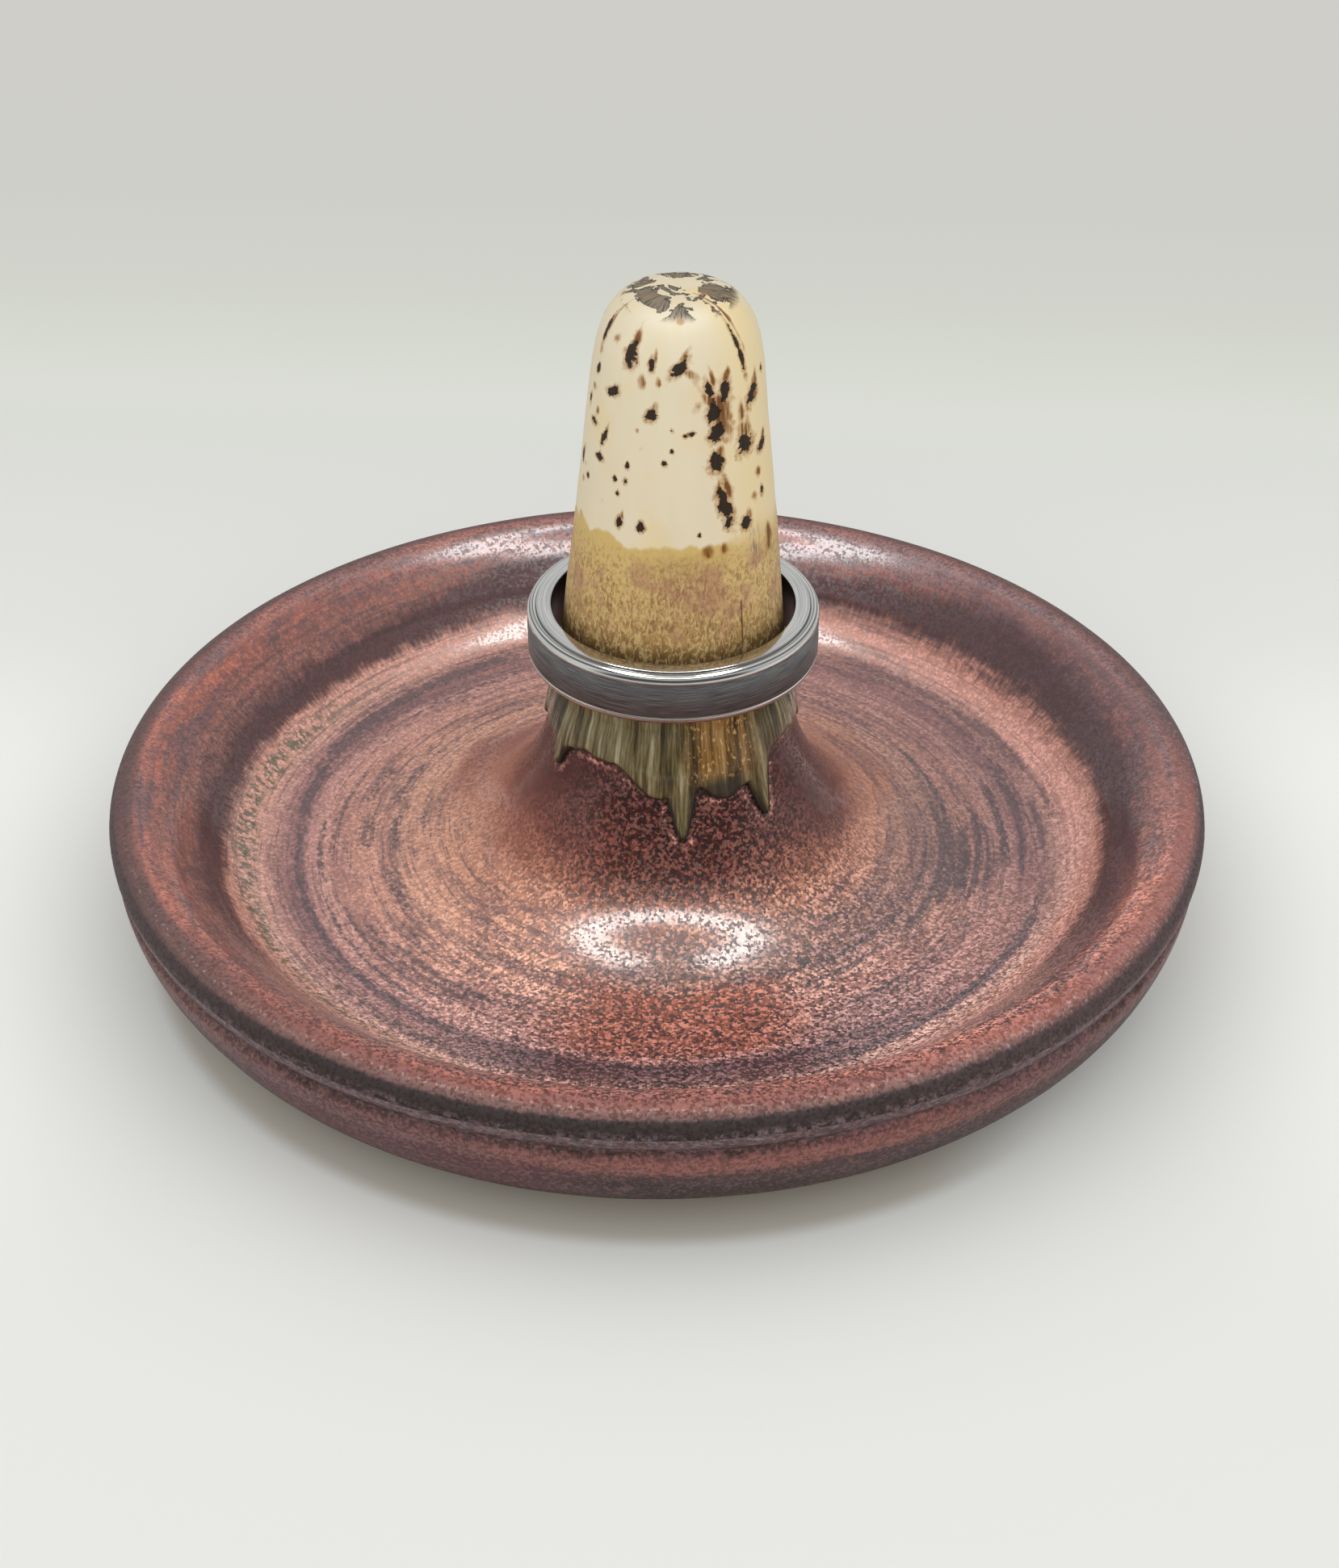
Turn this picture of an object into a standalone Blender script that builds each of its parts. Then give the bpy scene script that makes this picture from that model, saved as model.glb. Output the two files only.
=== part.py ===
"""Ring holder: a thrown stoneware dish with a tapered post at its middle, a runny glaze round the
foot of the post, and the finger ring that is parked on the post.

Metres, +Z up. The foot ring stands on z = 0 and the rim is centred on the Z axis. The post and the
throwing rings round it sit a little off that centre, as on the hand-thrown piece.
"""
import math

import bmesh
import bpy

# Gap between surfaces that touch on the real piece
SEAT_GAP = 0.0003
# Points nearer than this are one point
WELD_DISTANCE = 0.00001

# Dish: rim, lip and outside wall
RIM_RADIUS = 0.0465
RIM_HEIGHT = 0.0145
LIP_RADIUS = 0.0020
GROOVE_DEPTH = 0.00035
GROOVE_WIDTH = 0.0012
WALL_FOOT_RADIUS = 0.0380
WALL_FOOT_HEIGHT = 0.0010
WALL_FULLNESS = 1.15

# Dish: foot ring and the trimmed recess inside it
FOOT_RADIUS = 0.0372
FOOT_WIDTH = 0.0040
FOOT_CHAMFER = 0.0005
RECESS_HEIGHT = 0.0016

# Dish: inside floor at the valley under the rim, the shallow bowl inside the valley, and the hump
# that rises out of the bowl to the post
FLOOR_HEIGHT = 0.0062
BOWL_DEPTH = 0.0025
HUMP_HEIGHT = 0.0064
HUMP_SPREAD = 0.0070
HUMP_TURN = 0.0012
VALLEY_RADIUS = 0.0334
THROWING_RING_HEIGHT = 0.00012
THROWING_RING_PITCH = 0.0032

# Post: a straight taper that flares at its foot and closes in a flattened dome
POST_HEIGHT = 0.0571
SHOULDER_HEIGHT = 0.0493
SHOULDER_RADIUS = 0.0070
NECK_HEIGHT = 0.0220
NECK_RADIUS = 0.0098
FLARE_HEIGHT = 0.0104
FLARE_RADIUS = 0.01425
FLARE_POWER = 2.4
SEAT_HEIGHT = 0.0196
POST_OFF_CENTRE_X = 0.0012
POST_OFF_CENTRE_Y = 0.0018
POST_LEAN = 0.014
DOME_POWERS = (3.3, 4.0)

# Hollow that is trimmed out of the post and the dish from below
BORE_RADIUS = 0.0045
BORE_TOP_RADIUS = 0.0028
BORE_HEIGHT = 0.0440

# Runny glaze round the foot of the post
GLAZE_TOP_HEIGHT = 0.0225
GLAZE_EDGE_HEIGHT = 0.0190
GLAZE_THICKNESS = 0.00045
GLAZE_TOP_SHARE = 0.3
GLAZE_RUN_DROP = 0.0056
# Each run: its place as a share of a turn from +X, its half width as a share of a turn, and its
# length as a share of the longest run
GLAZE_RUN_SHARES = (
    (0.583, 0.012, 0.45),
    (0.733, 0.035, 0.42),
    (0.761, 0.014, 1.00),
    (0.817, 0.045, 0.50),
    (0.860, 0.013, 0.90),
    (0.055, 0.020, 0.60),
    (0.210, 0.015, 1.00),
    (0.300, 0.045, 0.30),
    (0.455, 0.014, 0.50),
)

# Finger ring: a flat band with a fine groove and a rounded shoulder along each edge
RING_BORE_RADIUS = 0.0101
RING_OUTER_RADIUS = 0.01215
RING_BOTTOM_HEIGHT = 0.0244
RING_WIDTH = 0.0048
RING_SHOULDER_DROP = 0.00082
RING_SHOULDER_WIDTH = 0.0007
RING_GROOVE_DEPTH = 0.0001
RING_EDGE_RADIUS = 0.0002

# How finely the shapes are divided
DISH_STEPS = 56
POST_STEPS = 40
GLAZE_STEPS = 120
RING_STEPS = 56
THROWING_RING_POINTS = 4
FLANK_POINTS = 8
HUMP_POINTS = 6
BORE_POINTS = 5
WALL_POINTS = 12
LIP_POINTS = 8
DOME_POINTS = 10
GLAZE_ROWS = 5
EDGE_POINTS = 3
SHOULDER_POINTS = 5
SHARP_ANGLE = math.radians(40)


def clear_scene():
    for obj in list(bpy.data.objects):
        bpy.data.objects.remove(obj, do_unlink=True)


def make_collection(name):
    made = bpy.data.collections.new(name)
    bpy.context.scene.collection.children.link(made)
    return made


def make_material(name, colour, roughness, metallic=0.0, coat=0.0):
    made = bpy.data.materials.new(name)
    made.use_nodes = True
    made.diffuse_color = (*colour, 1.0)
    shader = made.node_tree.nodes["Principled BSDF"]
    shader.inputs["Base Color"].default_value = (*colour, 1.0)
    shader.inputs["Roughness"].default_value = roughness
    shader.inputs["Metallic"].default_value = metallic
    shader.inputs["Coat Weight"].default_value = coat
    return made


def spread(start, end, count):
    """count values from start to end, both included."""
    return [start + (end - start) * i / (count - 1) for i in range(count)]


def arc(centre, radius, start, end, count):
    """Points along an arc in the profile's plane. Angles are in radians from +X."""
    return [
        (centre[0] + radius * math.cos(a), centre[1] + radius * math.sin(a))
        for a in spread(start, end, count)
    ]


def turn(name, profile, steps, closed, collection, material):
    """Turns a profile of (radius, height) points about Z with a Screw, and keeps the result as a mesh."""
    edges = [(i, i + 1) for i in range(len(profile) - 1)]
    if closed:
        edges.append((len(profile) - 1, 0))
    outline = bpy.data.meshes.new(name)
    outline.from_pydata([(r, 0, z) for r, z in profile], edges, [])
    obj = bpy.data.objects.new(name, outline)
    collection.objects.link(obj)
    screw = obj.modifiers.new("Turn", "SCREW")
    screw.axis = "Z"
    screw.angle = math.tau
    screw.steps = steps
    screw.render_steps = steps
    screw.use_merge_vertices = True
    screw.merge_threshold = WELD_DISTANCE
    graph = bpy.context.evaluated_depsgraph_get()
    turned = bpy.data.meshes.new_from_object(obj.evaluated_get(graph))
    turned.name = name
    obj.modifiers.clear()
    obj.data = turned
    bpy.data.meshes.remove(outline)
    finish_mesh(obj, material)
    return obj


def finish_mesh(obj, material):
    obj.data.materials.clear()
    obj.data.materials.append(material)
    obj.data.shade_smooth()
    obj.data.set_sharp_from_angle(angle=SHARP_ANGLE)


def post_axis(height):
    """Where the post's axis is at a height: off the rim's centre, and leaning a little to +X."""
    lean = POST_LEAN * max(height - SEAT_HEIGHT, 0)
    return POST_OFF_CENTRE_X + lean, POST_OFF_CENTRE_Y


def centre_on_post(obj, inner_radius=None, outer_radius=None):
    """Moves a turned mesh's points onto the post's axis. With two radii, only the middle of the
    mesh follows fully, and it fades out towards the outer radius."""
    for vertex in obj.data.vertices:
        share = 1
        if outer_radius:
            radius = math.hypot(vertex.co.x, vertex.co.y)
            share = (outer_radius - radius) / (outer_radius - inner_radius)
            share = smooth_step(min(max(share, 0), 1))
        x, y = post_axis(vertex.co.z)
        vertex.co.x += share * x
        vertex.co.y += share * y


def smooth_step(share):
    return share * share * (3 - 2 * share)


def taper_radius(height):
    """The post's straight taper, from its neck to its shoulder."""
    share = (height - NECK_HEIGHT) / (SHOULDER_HEIGHT - NECK_HEIGHT)
    return NECK_RADIUS + (SHOULDER_RADIUS - NECK_RADIUS) * share


def flare_size():
    """How far the flare's foot stands out from the straight taper."""
    return FLARE_RADIUS - taper_radius(FLARE_HEIGHT)


def flank_radius(height):
    """Radius of the clay from the foot of the flare up to the shoulder."""
    share = max(NECK_HEIGHT - height, 0) / (NECK_HEIGHT - FLARE_HEIGHT)
    return taper_radius(height) + flare_size() * share ** FLARE_POWER


def floor_height(radius):
    """The inside of the dish: the hump falls away from the post, and the wall rises to the rim."""
    out = radius - FLARE_RADIUS
    bowl_share = min(out / (VALLEY_RADIUS - FLARE_RADIUS), 1)
    floor = FLOOR_HEIGHT - BOWL_DEPTH * (1 - bowl_share * bowl_share)
    floor += HUMP_HEIGHT * math.exp(-out / HUMP_SPREAD)
    turn_height = FLARE_HEIGHT - FLOOR_HEIGHT + BOWL_DEPTH - HUMP_HEIGHT
    floor += turn_height * math.exp(-out / HUMP_TURN)
    crest = RIM_RADIUS - LIP_RADIUS
    share = min(max((radius - VALLEY_RADIUS) / (crest - VALLEY_RADIUS), 0), 1)
    wall = smooth_step(share)
    return floor * (1 - wall) + RIM_HEIGHT * wall


def hump_profile():
    """The turn from the flare on to the hump, with its points closest where it turns most."""
    reach = 4 * HUMP_TURN
    radii = [FLARE_RADIUS + reach * (i / HUMP_POINTS) ** 2 for i in range(1, HUMP_POINTS + 1)]
    return [(r, floor_height(r)) for r in radii]


def floor_profile(inner_radius):
    """The floor from the hump to the valley under the rim, with its throwing rings."""
    span = VALLEY_RADIUS - inner_radius
    rings = max(round(span / THROWING_RING_PITCH), 1)
    points = []
    for i in range(1, rings * THROWING_RING_POINTS):
        share = i / (rings * THROWING_RING_POINTS)
        radius = inner_radius + span * share
        wave = math.sin(math.tau * share * rings) * math.sin(math.pi * share)
        points.append((radius, floor_height(radius) + THROWING_RING_HEIGHT * wave))
    return points


def dish_profile():
    """The dish's section, clockwise from the seat of the post."""
    points = [(BORE_RADIUS, SEAT_HEIGHT)]
    points += [(flank_radius(z), z) for z in spread(SEAT_HEIGHT, FLARE_HEIGHT, FLANK_POINTS)]
    points += hump_profile()
    points += floor_profile(points[-1][0])
    crest = RIM_RADIUS - LIP_RADIUS
    points += [(r, floor_height(r)) for r in spread(VALLEY_RADIUS, crest, WALL_POINTS)]
    lip_centre = (crest, RIM_HEIGHT - LIP_RADIUS)
    points += arc(lip_centre, LIP_RADIUS, math.pi / 2, -math.pi / 5, LIP_POINTS)[1:]
    points += outside_profile(points[-1])
    points += foot_profile()
    points.append((BORE_RADIUS, RECESS_HEIGHT))
    return points


def outside_profile(lip_end):
    """The groove under the lip and the wall that rounds in to the foot."""
    points = [(lip_end[0] - GROOVE_DEPTH, lip_end[1] - GROOVE_WIDTH / 2)]
    top = lip_end[1] - GROOVE_WIDTH
    width = lip_end[0] - WALL_FOOT_RADIUS
    for angle in spread(0, math.pi / 2, WALL_POINTS):
        out = math.cos(angle) ** WALL_FULLNESS if angle < math.pi / 2 else 0
        down = math.sin(angle) ** WALL_FULLNESS
        points.append((WALL_FOOT_RADIUS + width * out, top - (top - WALL_FOOT_HEIGHT) * down))
    return points


def foot_profile():
    inner = FOOT_RADIUS - FOOT_WIDTH
    return [
        (FOOT_RADIUS + FOOT_CHAMFER / 2, FOOT_CHAMFER),
        (FOOT_RADIUS, 0),
        (inner, 0),
        (inner - FOOT_CHAMFER / 2, FOOT_CHAMFER),
        (inner - FOOT_CHAMFER, RECESS_HEIGHT),
    ]


def make_dish(collection):
    clay = make_material("red_glaze", (0.36, 0.13, 0.10), 0.42)
    dish = turn("dish", dish_profile(), DISH_STEPS, True, collection, clay)
    centre_on_post(
        dish, FLARE_RADIUS + HUMP_SPREAD / 2, FOOT_RADIUS - FOOT_WIDTH - FOOT_CHAMFER
    )
    return dish


def post_profile():
    """The post's section from its tip down its outer side, and back up the hollow inside it."""
    sharpness, squareness = DOME_POWERS
    dome = POST_HEIGHT - SHOULDER_HEIGHT
    points = []
    for angle in spread(math.pi / 2, 0, DOME_POINTS):
        height = SHOULDER_HEIGHT + dome * math.sin(angle)
        closing = max(1 - math.sin(angle) ** sharpness, 0) ** (1 / squareness)
        points.append((taper_radius(height) * closing if closing > 0 else 0, height))
    seat = SEAT_HEIGHT + SEAT_GAP
    points += [(flank_radius(z), z) for z in spread(SHOULDER_HEIGHT, seat, FLANK_POINTS * 2)[1:]]
    points += [(BORE_RADIUS, seat), (BORE_TOP_RADIUS, BORE_HEIGHT - BORE_TOP_RADIUS)]
    end_centre = (0, BORE_HEIGHT - BORE_TOP_RADIUS)
    points += arc(end_centre, BORE_TOP_RADIUS, 0, math.pi / 2, BORE_POINTS)[1:-1]
    points.append((0, BORE_HEIGHT))
    return points


def make_post(collection):
    clay = make_material("cream_glaze", (0.72, 0.58, 0.38), 0.18, coat=0.6)
    post = turn("post", post_profile(), POST_STEPS, False, collection, clay)
    centre_on_post(post)
    return post


def glaze_edge_height(turn_share):
    """Height of the glaze's lower edge at a share of a turn round the post."""
    drop = 0
    for place, half_width, length in GLAZE_RUN_SHARES:
        away = abs((turn_share - place + 0.5) % 1 - 0.5)
        drop = max(drop, length * math.exp(-((away / half_width) ** 2)))
    return GLAZE_EDGE_HEIGHT - GLAZE_RUN_DROP * drop


def make_glaze_runs(collection):
    """A sheet wrapped round the post, with a run at each place of the table, thickened outwards.
    It starts thin at its top edge and is full in the runs."""
    coat = make_material("olive_glaze", (0.24, 0.20, 0.09), 0.25, coat=0.6)
    mesh = bpy.data.meshes.new("glaze_runs")
    sheet = bmesh.new()
    bmesh.ops.create_grid(sheet, x_segments=GLAZE_STEPS, y_segments=GLAZE_ROWS, size=0.5)
    for vertex in sheet.verts:
        turn_share = vertex.co.x + 0.5
        depth_share = 0.5 - vertex.co.y
        edge = glaze_edge_height(turn_share % 1)
        height = GLAZE_TOP_HEIGHT + (edge - GLAZE_TOP_HEIGHT) * depth_share
        radius = flank_radius(height) + SEAT_GAP
        x, y = post_axis(height)
        angle = math.tau * turn_share
        vertex.co = (x + radius * math.cos(angle), y + radius * math.sin(angle), height)
    bmesh.ops.remove_doubles(sheet, verts=sheet.verts, dist=WELD_DISTANCE)
    bmesh.ops.recalc_face_normals(sheet, faces=sheet.faces)
    sheet.to_mesh(mesh)
    sheet.free()
    obj = bpy.data.objects.new("glaze_runs", mesh)
    collection.objects.link(obj)
    finish_mesh(obj, coat)
    depth = obj.vertex_groups.new(name="depth")
    for vertex in mesh.vertices:
        share = (GLAZE_TOP_HEIGHT - vertex.co.z) / (GLAZE_TOP_HEIGHT - GLAZE_EDGE_HEIGHT)
        depth.add([vertex.index], min(share, 1), "REPLACE")
    thicken = obj.modifiers.new("Thickness", "SOLIDIFY")
    thicken.thickness = GLAZE_THICKNESS
    thicken.offset = 1
    thicken.vertex_group = depth.name
    thicken.thickness_vertex_group = GLAZE_TOP_SHARE
    return obj


def ring_profile():
    """The band's section, clockwise from the inner top edge: a flat edge, the groove and the
    shoulder above a flat middle, and the same again below."""
    top = RING_WIDTH
    edge = RING_EDGE_RADIUS
    shoulder_radius = RING_OUTER_RADIUS - RING_SHOULDER_WIDTH
    shoulder_height = RING_SHOULDER_DROP - RING_GROOVE_DEPTH
    quarter = math.pi / 2
    points = arc((RING_BORE_RADIUS + edge, top - edge), edge, 2 * quarter, quarter, EDGE_POINTS)
    points.append((shoulder_radius, top))
    for angle in spread(quarter, 0, SHOULDER_POINTS):
        points.append((
            shoulder_radius + RING_SHOULDER_WIDTH * math.cos(angle),
            top - RING_SHOULDER_DROP + shoulder_height * math.sin(angle),
        ))
    return points + [(r, RING_WIDTH - z) for r, z in reversed(points)]


def make_ring(collection):
    steel = make_material("ring_metal", (0.33, 0.33, 0.34), 0.28, metallic=1.0)
    ring = turn("ring", ring_profile(), RING_STEPS, True, collection, steel)
    x, y = post_axis(RING_BOTTOM_HEIGHT + RING_WIDTH / 2)
    ring.location = (x, y, RING_BOTTOM_HEIGHT)
    return ring


def main():
    clear_scene()
    holder = make_collection("ring_holder")
    make_dish(holder)
    make_post(holder)
    make_glaze_runs(holder)
    make_ring(holder)


main()
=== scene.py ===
"""The ring holder's looks: a thrown stoneware dish and post in two glazes, with a parked band ring.

Pieces are made in millimetres and scaled to metres at the end. Turn is in degrees round the post:
0 is +X and -90 is the front.
"""

import math
from functools import reduce

import bmesh
import bpy
import numpy as np
from mathutils import Matrix, Vector, noise


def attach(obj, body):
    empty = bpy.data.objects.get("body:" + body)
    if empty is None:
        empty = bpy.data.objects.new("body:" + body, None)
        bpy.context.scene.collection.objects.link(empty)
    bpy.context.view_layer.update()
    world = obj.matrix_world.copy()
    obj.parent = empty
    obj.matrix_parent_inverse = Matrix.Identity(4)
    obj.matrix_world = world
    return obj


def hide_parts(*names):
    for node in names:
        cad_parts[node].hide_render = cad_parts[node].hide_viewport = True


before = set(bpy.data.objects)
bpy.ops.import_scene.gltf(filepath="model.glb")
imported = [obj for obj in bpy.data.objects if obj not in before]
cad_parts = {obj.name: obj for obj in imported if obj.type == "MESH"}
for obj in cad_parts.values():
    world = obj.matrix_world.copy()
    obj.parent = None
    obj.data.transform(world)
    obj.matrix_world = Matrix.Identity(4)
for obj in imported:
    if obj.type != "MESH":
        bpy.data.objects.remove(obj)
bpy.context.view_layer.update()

MM = 0.001
# Where the search for the nearest edge or speck starts
FAR = 9.0

# The pot's sizes, as in the CAD
RIM_RADIUS = 46.5
RIM_HEIGHT = 14.5
LIP_RADIUS = 2.0
GROOVE_DEPTH = 0.35
GROOVE_WIDTH = 1.2
WALL_FOOT_RADIUS = 38.0
WALL_FOOT_HEIGHT = 1.0
WALL_FULLNESS = 1.15
FOOT_RADIUS = 37.2
FOOT_WIDTH = 4.0
FOOT_CHAMFER = 0.5
RECESS_HEIGHT = 1.6
FLOOR_HEIGHT = 6.2
VALLEY_RADIUS = 33.4
POST_HEIGHT = 57.1
SHOULDER_HEIGHT = 49.3
SHOULDER_RADIUS = 7.0
NECK_HEIGHT = 22.0
NECK_RADIUS = 9.8
FLARE_HEIGHT = 10.4
FLARE_RADIUS = 14.25
FLARE_POWER = 2.4
SEAT_HEIGHT = 19.6
SEAT_GAP = 0.3
THROW_CENTRE = (1.2, 1.8)
POST_LEAN = 0.014
DOME_POWERS = (3.3, 4.0)
BORE_RADIUS = 4.5
BORE_TOP_RADIUS = 2.8
BORE_HEIGHT = 44.0
# Inside the first radius the dish turns about the throwing centre, outside the second about the rim
WHEEL_RADII = (17.75, FOOT_RADIUS - FOOT_WIDTH - FOOT_CHAMFER)

# The floor's shallow bowl, the hump that rises from it and the turn where the flare lands on it
BOWL_DEPTH = 2.5
HUMP_HEIGHT = 6.4
HUMP_SPREAD = 7.0
HUMP_TURN = 1.2

# The steps of the dish's section. The rim's unevenness starts on the wall.
FLARE_STEPS, TURN_STEPS, FLOOR_STEPS = 60, 12, 119
FLOOR_START = FLARE_STEPS + 2
FLOOR_END = FLOOR_START + TURN_STEPS + FLOOR_STEPS
UNEVEN_START = 167

# The potter's hand: depth in mm, shift, and fineness round the wheel and across it
THROWING_LINES = ((0.05, 0, 0.7, 0.42), (0.02, 30, 1.1, 1.1), (0.008, 60, 1.6, 2.6))
UNEVEN_RIM = ((0.10, 0, 1.6, 0.25), (0.02, 9, 7.0, 1.2))
POST_LUMPS = ((0.08, 0, 1.2, 0.12), (0.02, 40, 3.5, 0.5))
RIM_WEAR = 0.08

# The runny glaze round the post's foot, and its runs: place as a share of a turn, half width as
# another, and length as a share of the drop
GLAZE_TOP_HEIGHT = 22.5
GLAZE_EDGE_HEIGHT = 19.0
GLAZE_RUN_DROP = 5.6
GLAZE_RUNS = (
    (0.583, 0.012, 0.45),
    (0.733, 0.035, 0.42),
    (0.761, 0.018, 1.00),
    (0.817, 0.045, 0.50),
    (0.8625, 0.0165, 0.90),
    (0.055, 0.020, 0.60),
    (0.210, 0.015, 1.00),
    (0.300, 0.045, 0.30),
    (0.455, 0.014, 0.50),
)
EDGE_STEPS = 480
BEAD_WIDTH = 0.55
COAT_THICKNESS = (0.10, 0.52)
COAT_GAIN_DEPTH = 3.5
COAT_TOP = 0.012
COAT_LINE = 0.04
COAT_INSIDE = 0.25
COAT_FADE = 0.35
STREAK_RELIEF = 0.12

# The band ring
RING_BORE_RADIUS = 10.1
RING_OUTER_RADIUS = 12.15
RING_BOTTOM_HEIGHT = 24.4
RING_WIDTH = 4.8
RING_STEP_WIDTH = 0.7
RING_STEP_DROP = 0.82
RING_GROOVE = 0.07
RING_BORE_ROUND = 0.15
RING_EDGE_ROUND = 0.06


# Shapes

def eased(share):
    return share * share * (3 - 2 * share)


def smooth_step(share):
    return eased(min(max(share, 0), 1))


def spread(start, end, count):
    return [start + (end - start) * i / (count - 1) for i in range(count)]


def arc(centre, radius, start, end, count):
    return [
        (centre[0] + radius * math.cos(a), centre[1] + radius * math.sin(a))
        for a in spread(math.radians(start), math.radians(end), count)
    ]


def post_axis(height):
    return THROW_CENTRE[0] + POST_LEAN * max(height - SEAT_HEIGHT, 0), THROW_CENTRE[1]


def taper_radius(height):
    share = (height - NECK_HEIGHT) / (SHOULDER_HEIGHT - NECK_HEIGHT)
    return NECK_RADIUS + (SHOULDER_RADIUS - NECK_RADIUS) * share


def flank_radius(height):
    flare = FLARE_RADIUS - taper_radius(FLARE_HEIGHT)
    share = max(NECK_HEIGHT - height, 0) / (NECK_HEIGHT - FLARE_HEIGHT)
    return taper_radius(height) + flare * share ** FLARE_POWER


def floor_height(radius):
    out = radius - FLARE_RADIUS
    share = min(out / (VALLEY_RADIUS - FLARE_RADIUS), 1)
    turn_height = FLARE_HEIGHT - FLOOR_HEIGHT + BOWL_DEPTH - HUMP_HEIGHT
    hump = HUMP_HEIGHT * math.exp(-out / HUMP_SPREAD) + turn_height * math.exp(-out / HUMP_TURN)
    hump -= BOWL_DEPTH * (1 - share * share)
    crest = RIM_RADIUS - LIP_RADIUS
    wall = smooth_step((radius - VALLEY_RADIUS) / (crest - VALLEY_RADIUS))
    return FLOOR_HEIGHT + hump * (1 - wall) + (RIM_HEIGHT - FLOOR_HEIGHT) * wall


def dish_section():
    """Radius and height down the inside, over the lip, down the outside and in under the foot."""
    points = [(BORE_RADIUS, SEAT_HEIGHT), (BORE_RADIUS + 2, SEAT_HEIGHT)]
    points += [(flank_radius(z), z) for z in spread(SEAT_HEIGHT, FLARE_HEIGHT, FLARE_STEPS)]
    crest = RIM_RADIUS - LIP_RADIUS
    turn = [FLARE_RADIUS + 2.5 * share * share for share in spread(0, 1, TURN_STEPS + 1)[1:]]
    floor = spread(turn[-1], crest, FLOOR_STEPS + 1)[1:]
    points += [(r, floor_height(r)) for r in turn + floor]
    lip_centre = (crest, RIM_HEIGHT - LIP_RADIUS)
    points += arc(lip_centre, LIP_RADIUS, 90, -36, 20)[1:]
    end = points[-1]
    for share in spread(0, 1, 9)[1:]:
        dent = GROOVE_DEPTH * math.sin(math.pi * share)
        points.append((end[0] - dent, end[1] - GROOVE_WIDTH * share))
    top = points[-1][1]
    width = end[0] - WALL_FOOT_RADIUS
    for angle in spread(0, math.pi / 2, 34)[1:]:
        out = max(math.cos(angle), 0) ** WALL_FULLNESS
        down = math.sin(angle) ** WALL_FULLNESS
        points.append((WALL_FOOT_RADIUS + width * out, top - (top - WALL_FOOT_HEIGHT) * down))
    inner = FOOT_RADIUS - FOOT_WIDTH
    points += [
        (FOOT_RADIUS + FOOT_CHAMFER / 2, FOOT_CHAMFER),
        (FOOT_RADIUS, 0),
        (inner, 0),
        (inner - FOOT_CHAMFER / 2, FOOT_CHAMFER),
        (inner - FOOT_CHAMFER, RECESS_HEIGHT),
        (inner / 2, RECESS_HEIGHT),
        (BORE_RADIUS, RECESS_HEIGHT),
    ]
    return points


def post_section():
    """Radius and height from the tip down the outside, then back up the hollow."""
    sharpness, squareness = DOME_POWERS
    dome = POST_HEIGHT - SHOULDER_HEIGHT
    points = []
    for angle in spread(math.pi / 2, 0, 40):
        height = SHOULDER_HEIGHT + dome * math.sin(angle)
        closing = max(1 - math.sin(angle) ** sharpness, 0) ** (1 / squareness)
        points.append((taper_radius(height) * closing, height))
    seat = SEAT_HEIGHT + SEAT_GAP
    points += [(flank_radius(z), z) for z in spread(SHOULDER_HEIGHT, seat, 130)[1:]]
    points += [(BORE_RADIUS, seat)]
    points += arc((0, BORE_HEIGHT - BORE_TOP_RADIUS), BORE_TOP_RADIUS, 0, 90, 8)
    points[0] = (0, points[0][1])
    points[-1] = (0, points[-1][1])
    return points


def ring_section():
    """The band's section: flat polished edges, a groove, a rounded shoulder, a brushed middle."""
    step = RING_OUTER_RADIUS - RING_STEP_WIDTH
    top = RING_WIDTH / 2
    soft, sharp = RING_BORE_ROUND, RING_EDGE_ROUND
    half = arc((RING_BORE_RADIUS + soft, top - soft), soft, 180, 90, 5)
    half += arc((step - sharp - RING_GROOVE, top - sharp), sharp, 90, 0, 4)
    half += [(step - RING_GROOVE, top - 0.2), (step + 0.02, top - 0.2)]
    for angle in spread(math.pi / 2, 0, 12)[1:]:
        half.append((
            step + RING_STEP_WIDTH * math.cos(angle) ** 0.9,
            top - RING_STEP_DROP + (RING_STEP_DROP - 0.12) * math.sin(angle) ** 0.9,
        ))
    half += [(RING_OUTER_RADIUS - 0.05, top - RING_STEP_DROP - 0.04),
             (RING_OUTER_RADIUS - 0.01, top - RING_STEP_DROP - 0.1)]
    return half + [(r, -z) for r, z in reversed(half)]


def loop_faces(rows, columns, closed):
    """The faces between loops of points. closed joins the last loop to the first."""
    faces = []
    for i in range(rows if closed else rows - 1):
        here, there = i * columns, (i + 1) % rows * columns
        for j in range(columns):
            k = (j + 1) % columns
            faces.append((here + j, there + j, there + k, here + k))
    return faces


def turned(name, section, steps, closed, relief=None):
    """Turns a section into a mesh. relief gives, for each point, the shift (x, y, z) that the
    potter's hand adds."""
    turns = np.arange(steps) * math.tau / steps
    radii, heights = np.array(section).T
    points = np.stack([
        np.outer(radii, np.cos(turns)), np.outer(radii, np.sin(turns)),
        np.outer(heights, np.ones(steps)),
    ], -1).reshape(-1, 3)
    if relief:
        points += np.array([relief(Vector(p), i // steps) for i, p in enumerate(points)])
    return make_piece(name, points, loop_faces(len(section), steps, closed))


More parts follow.
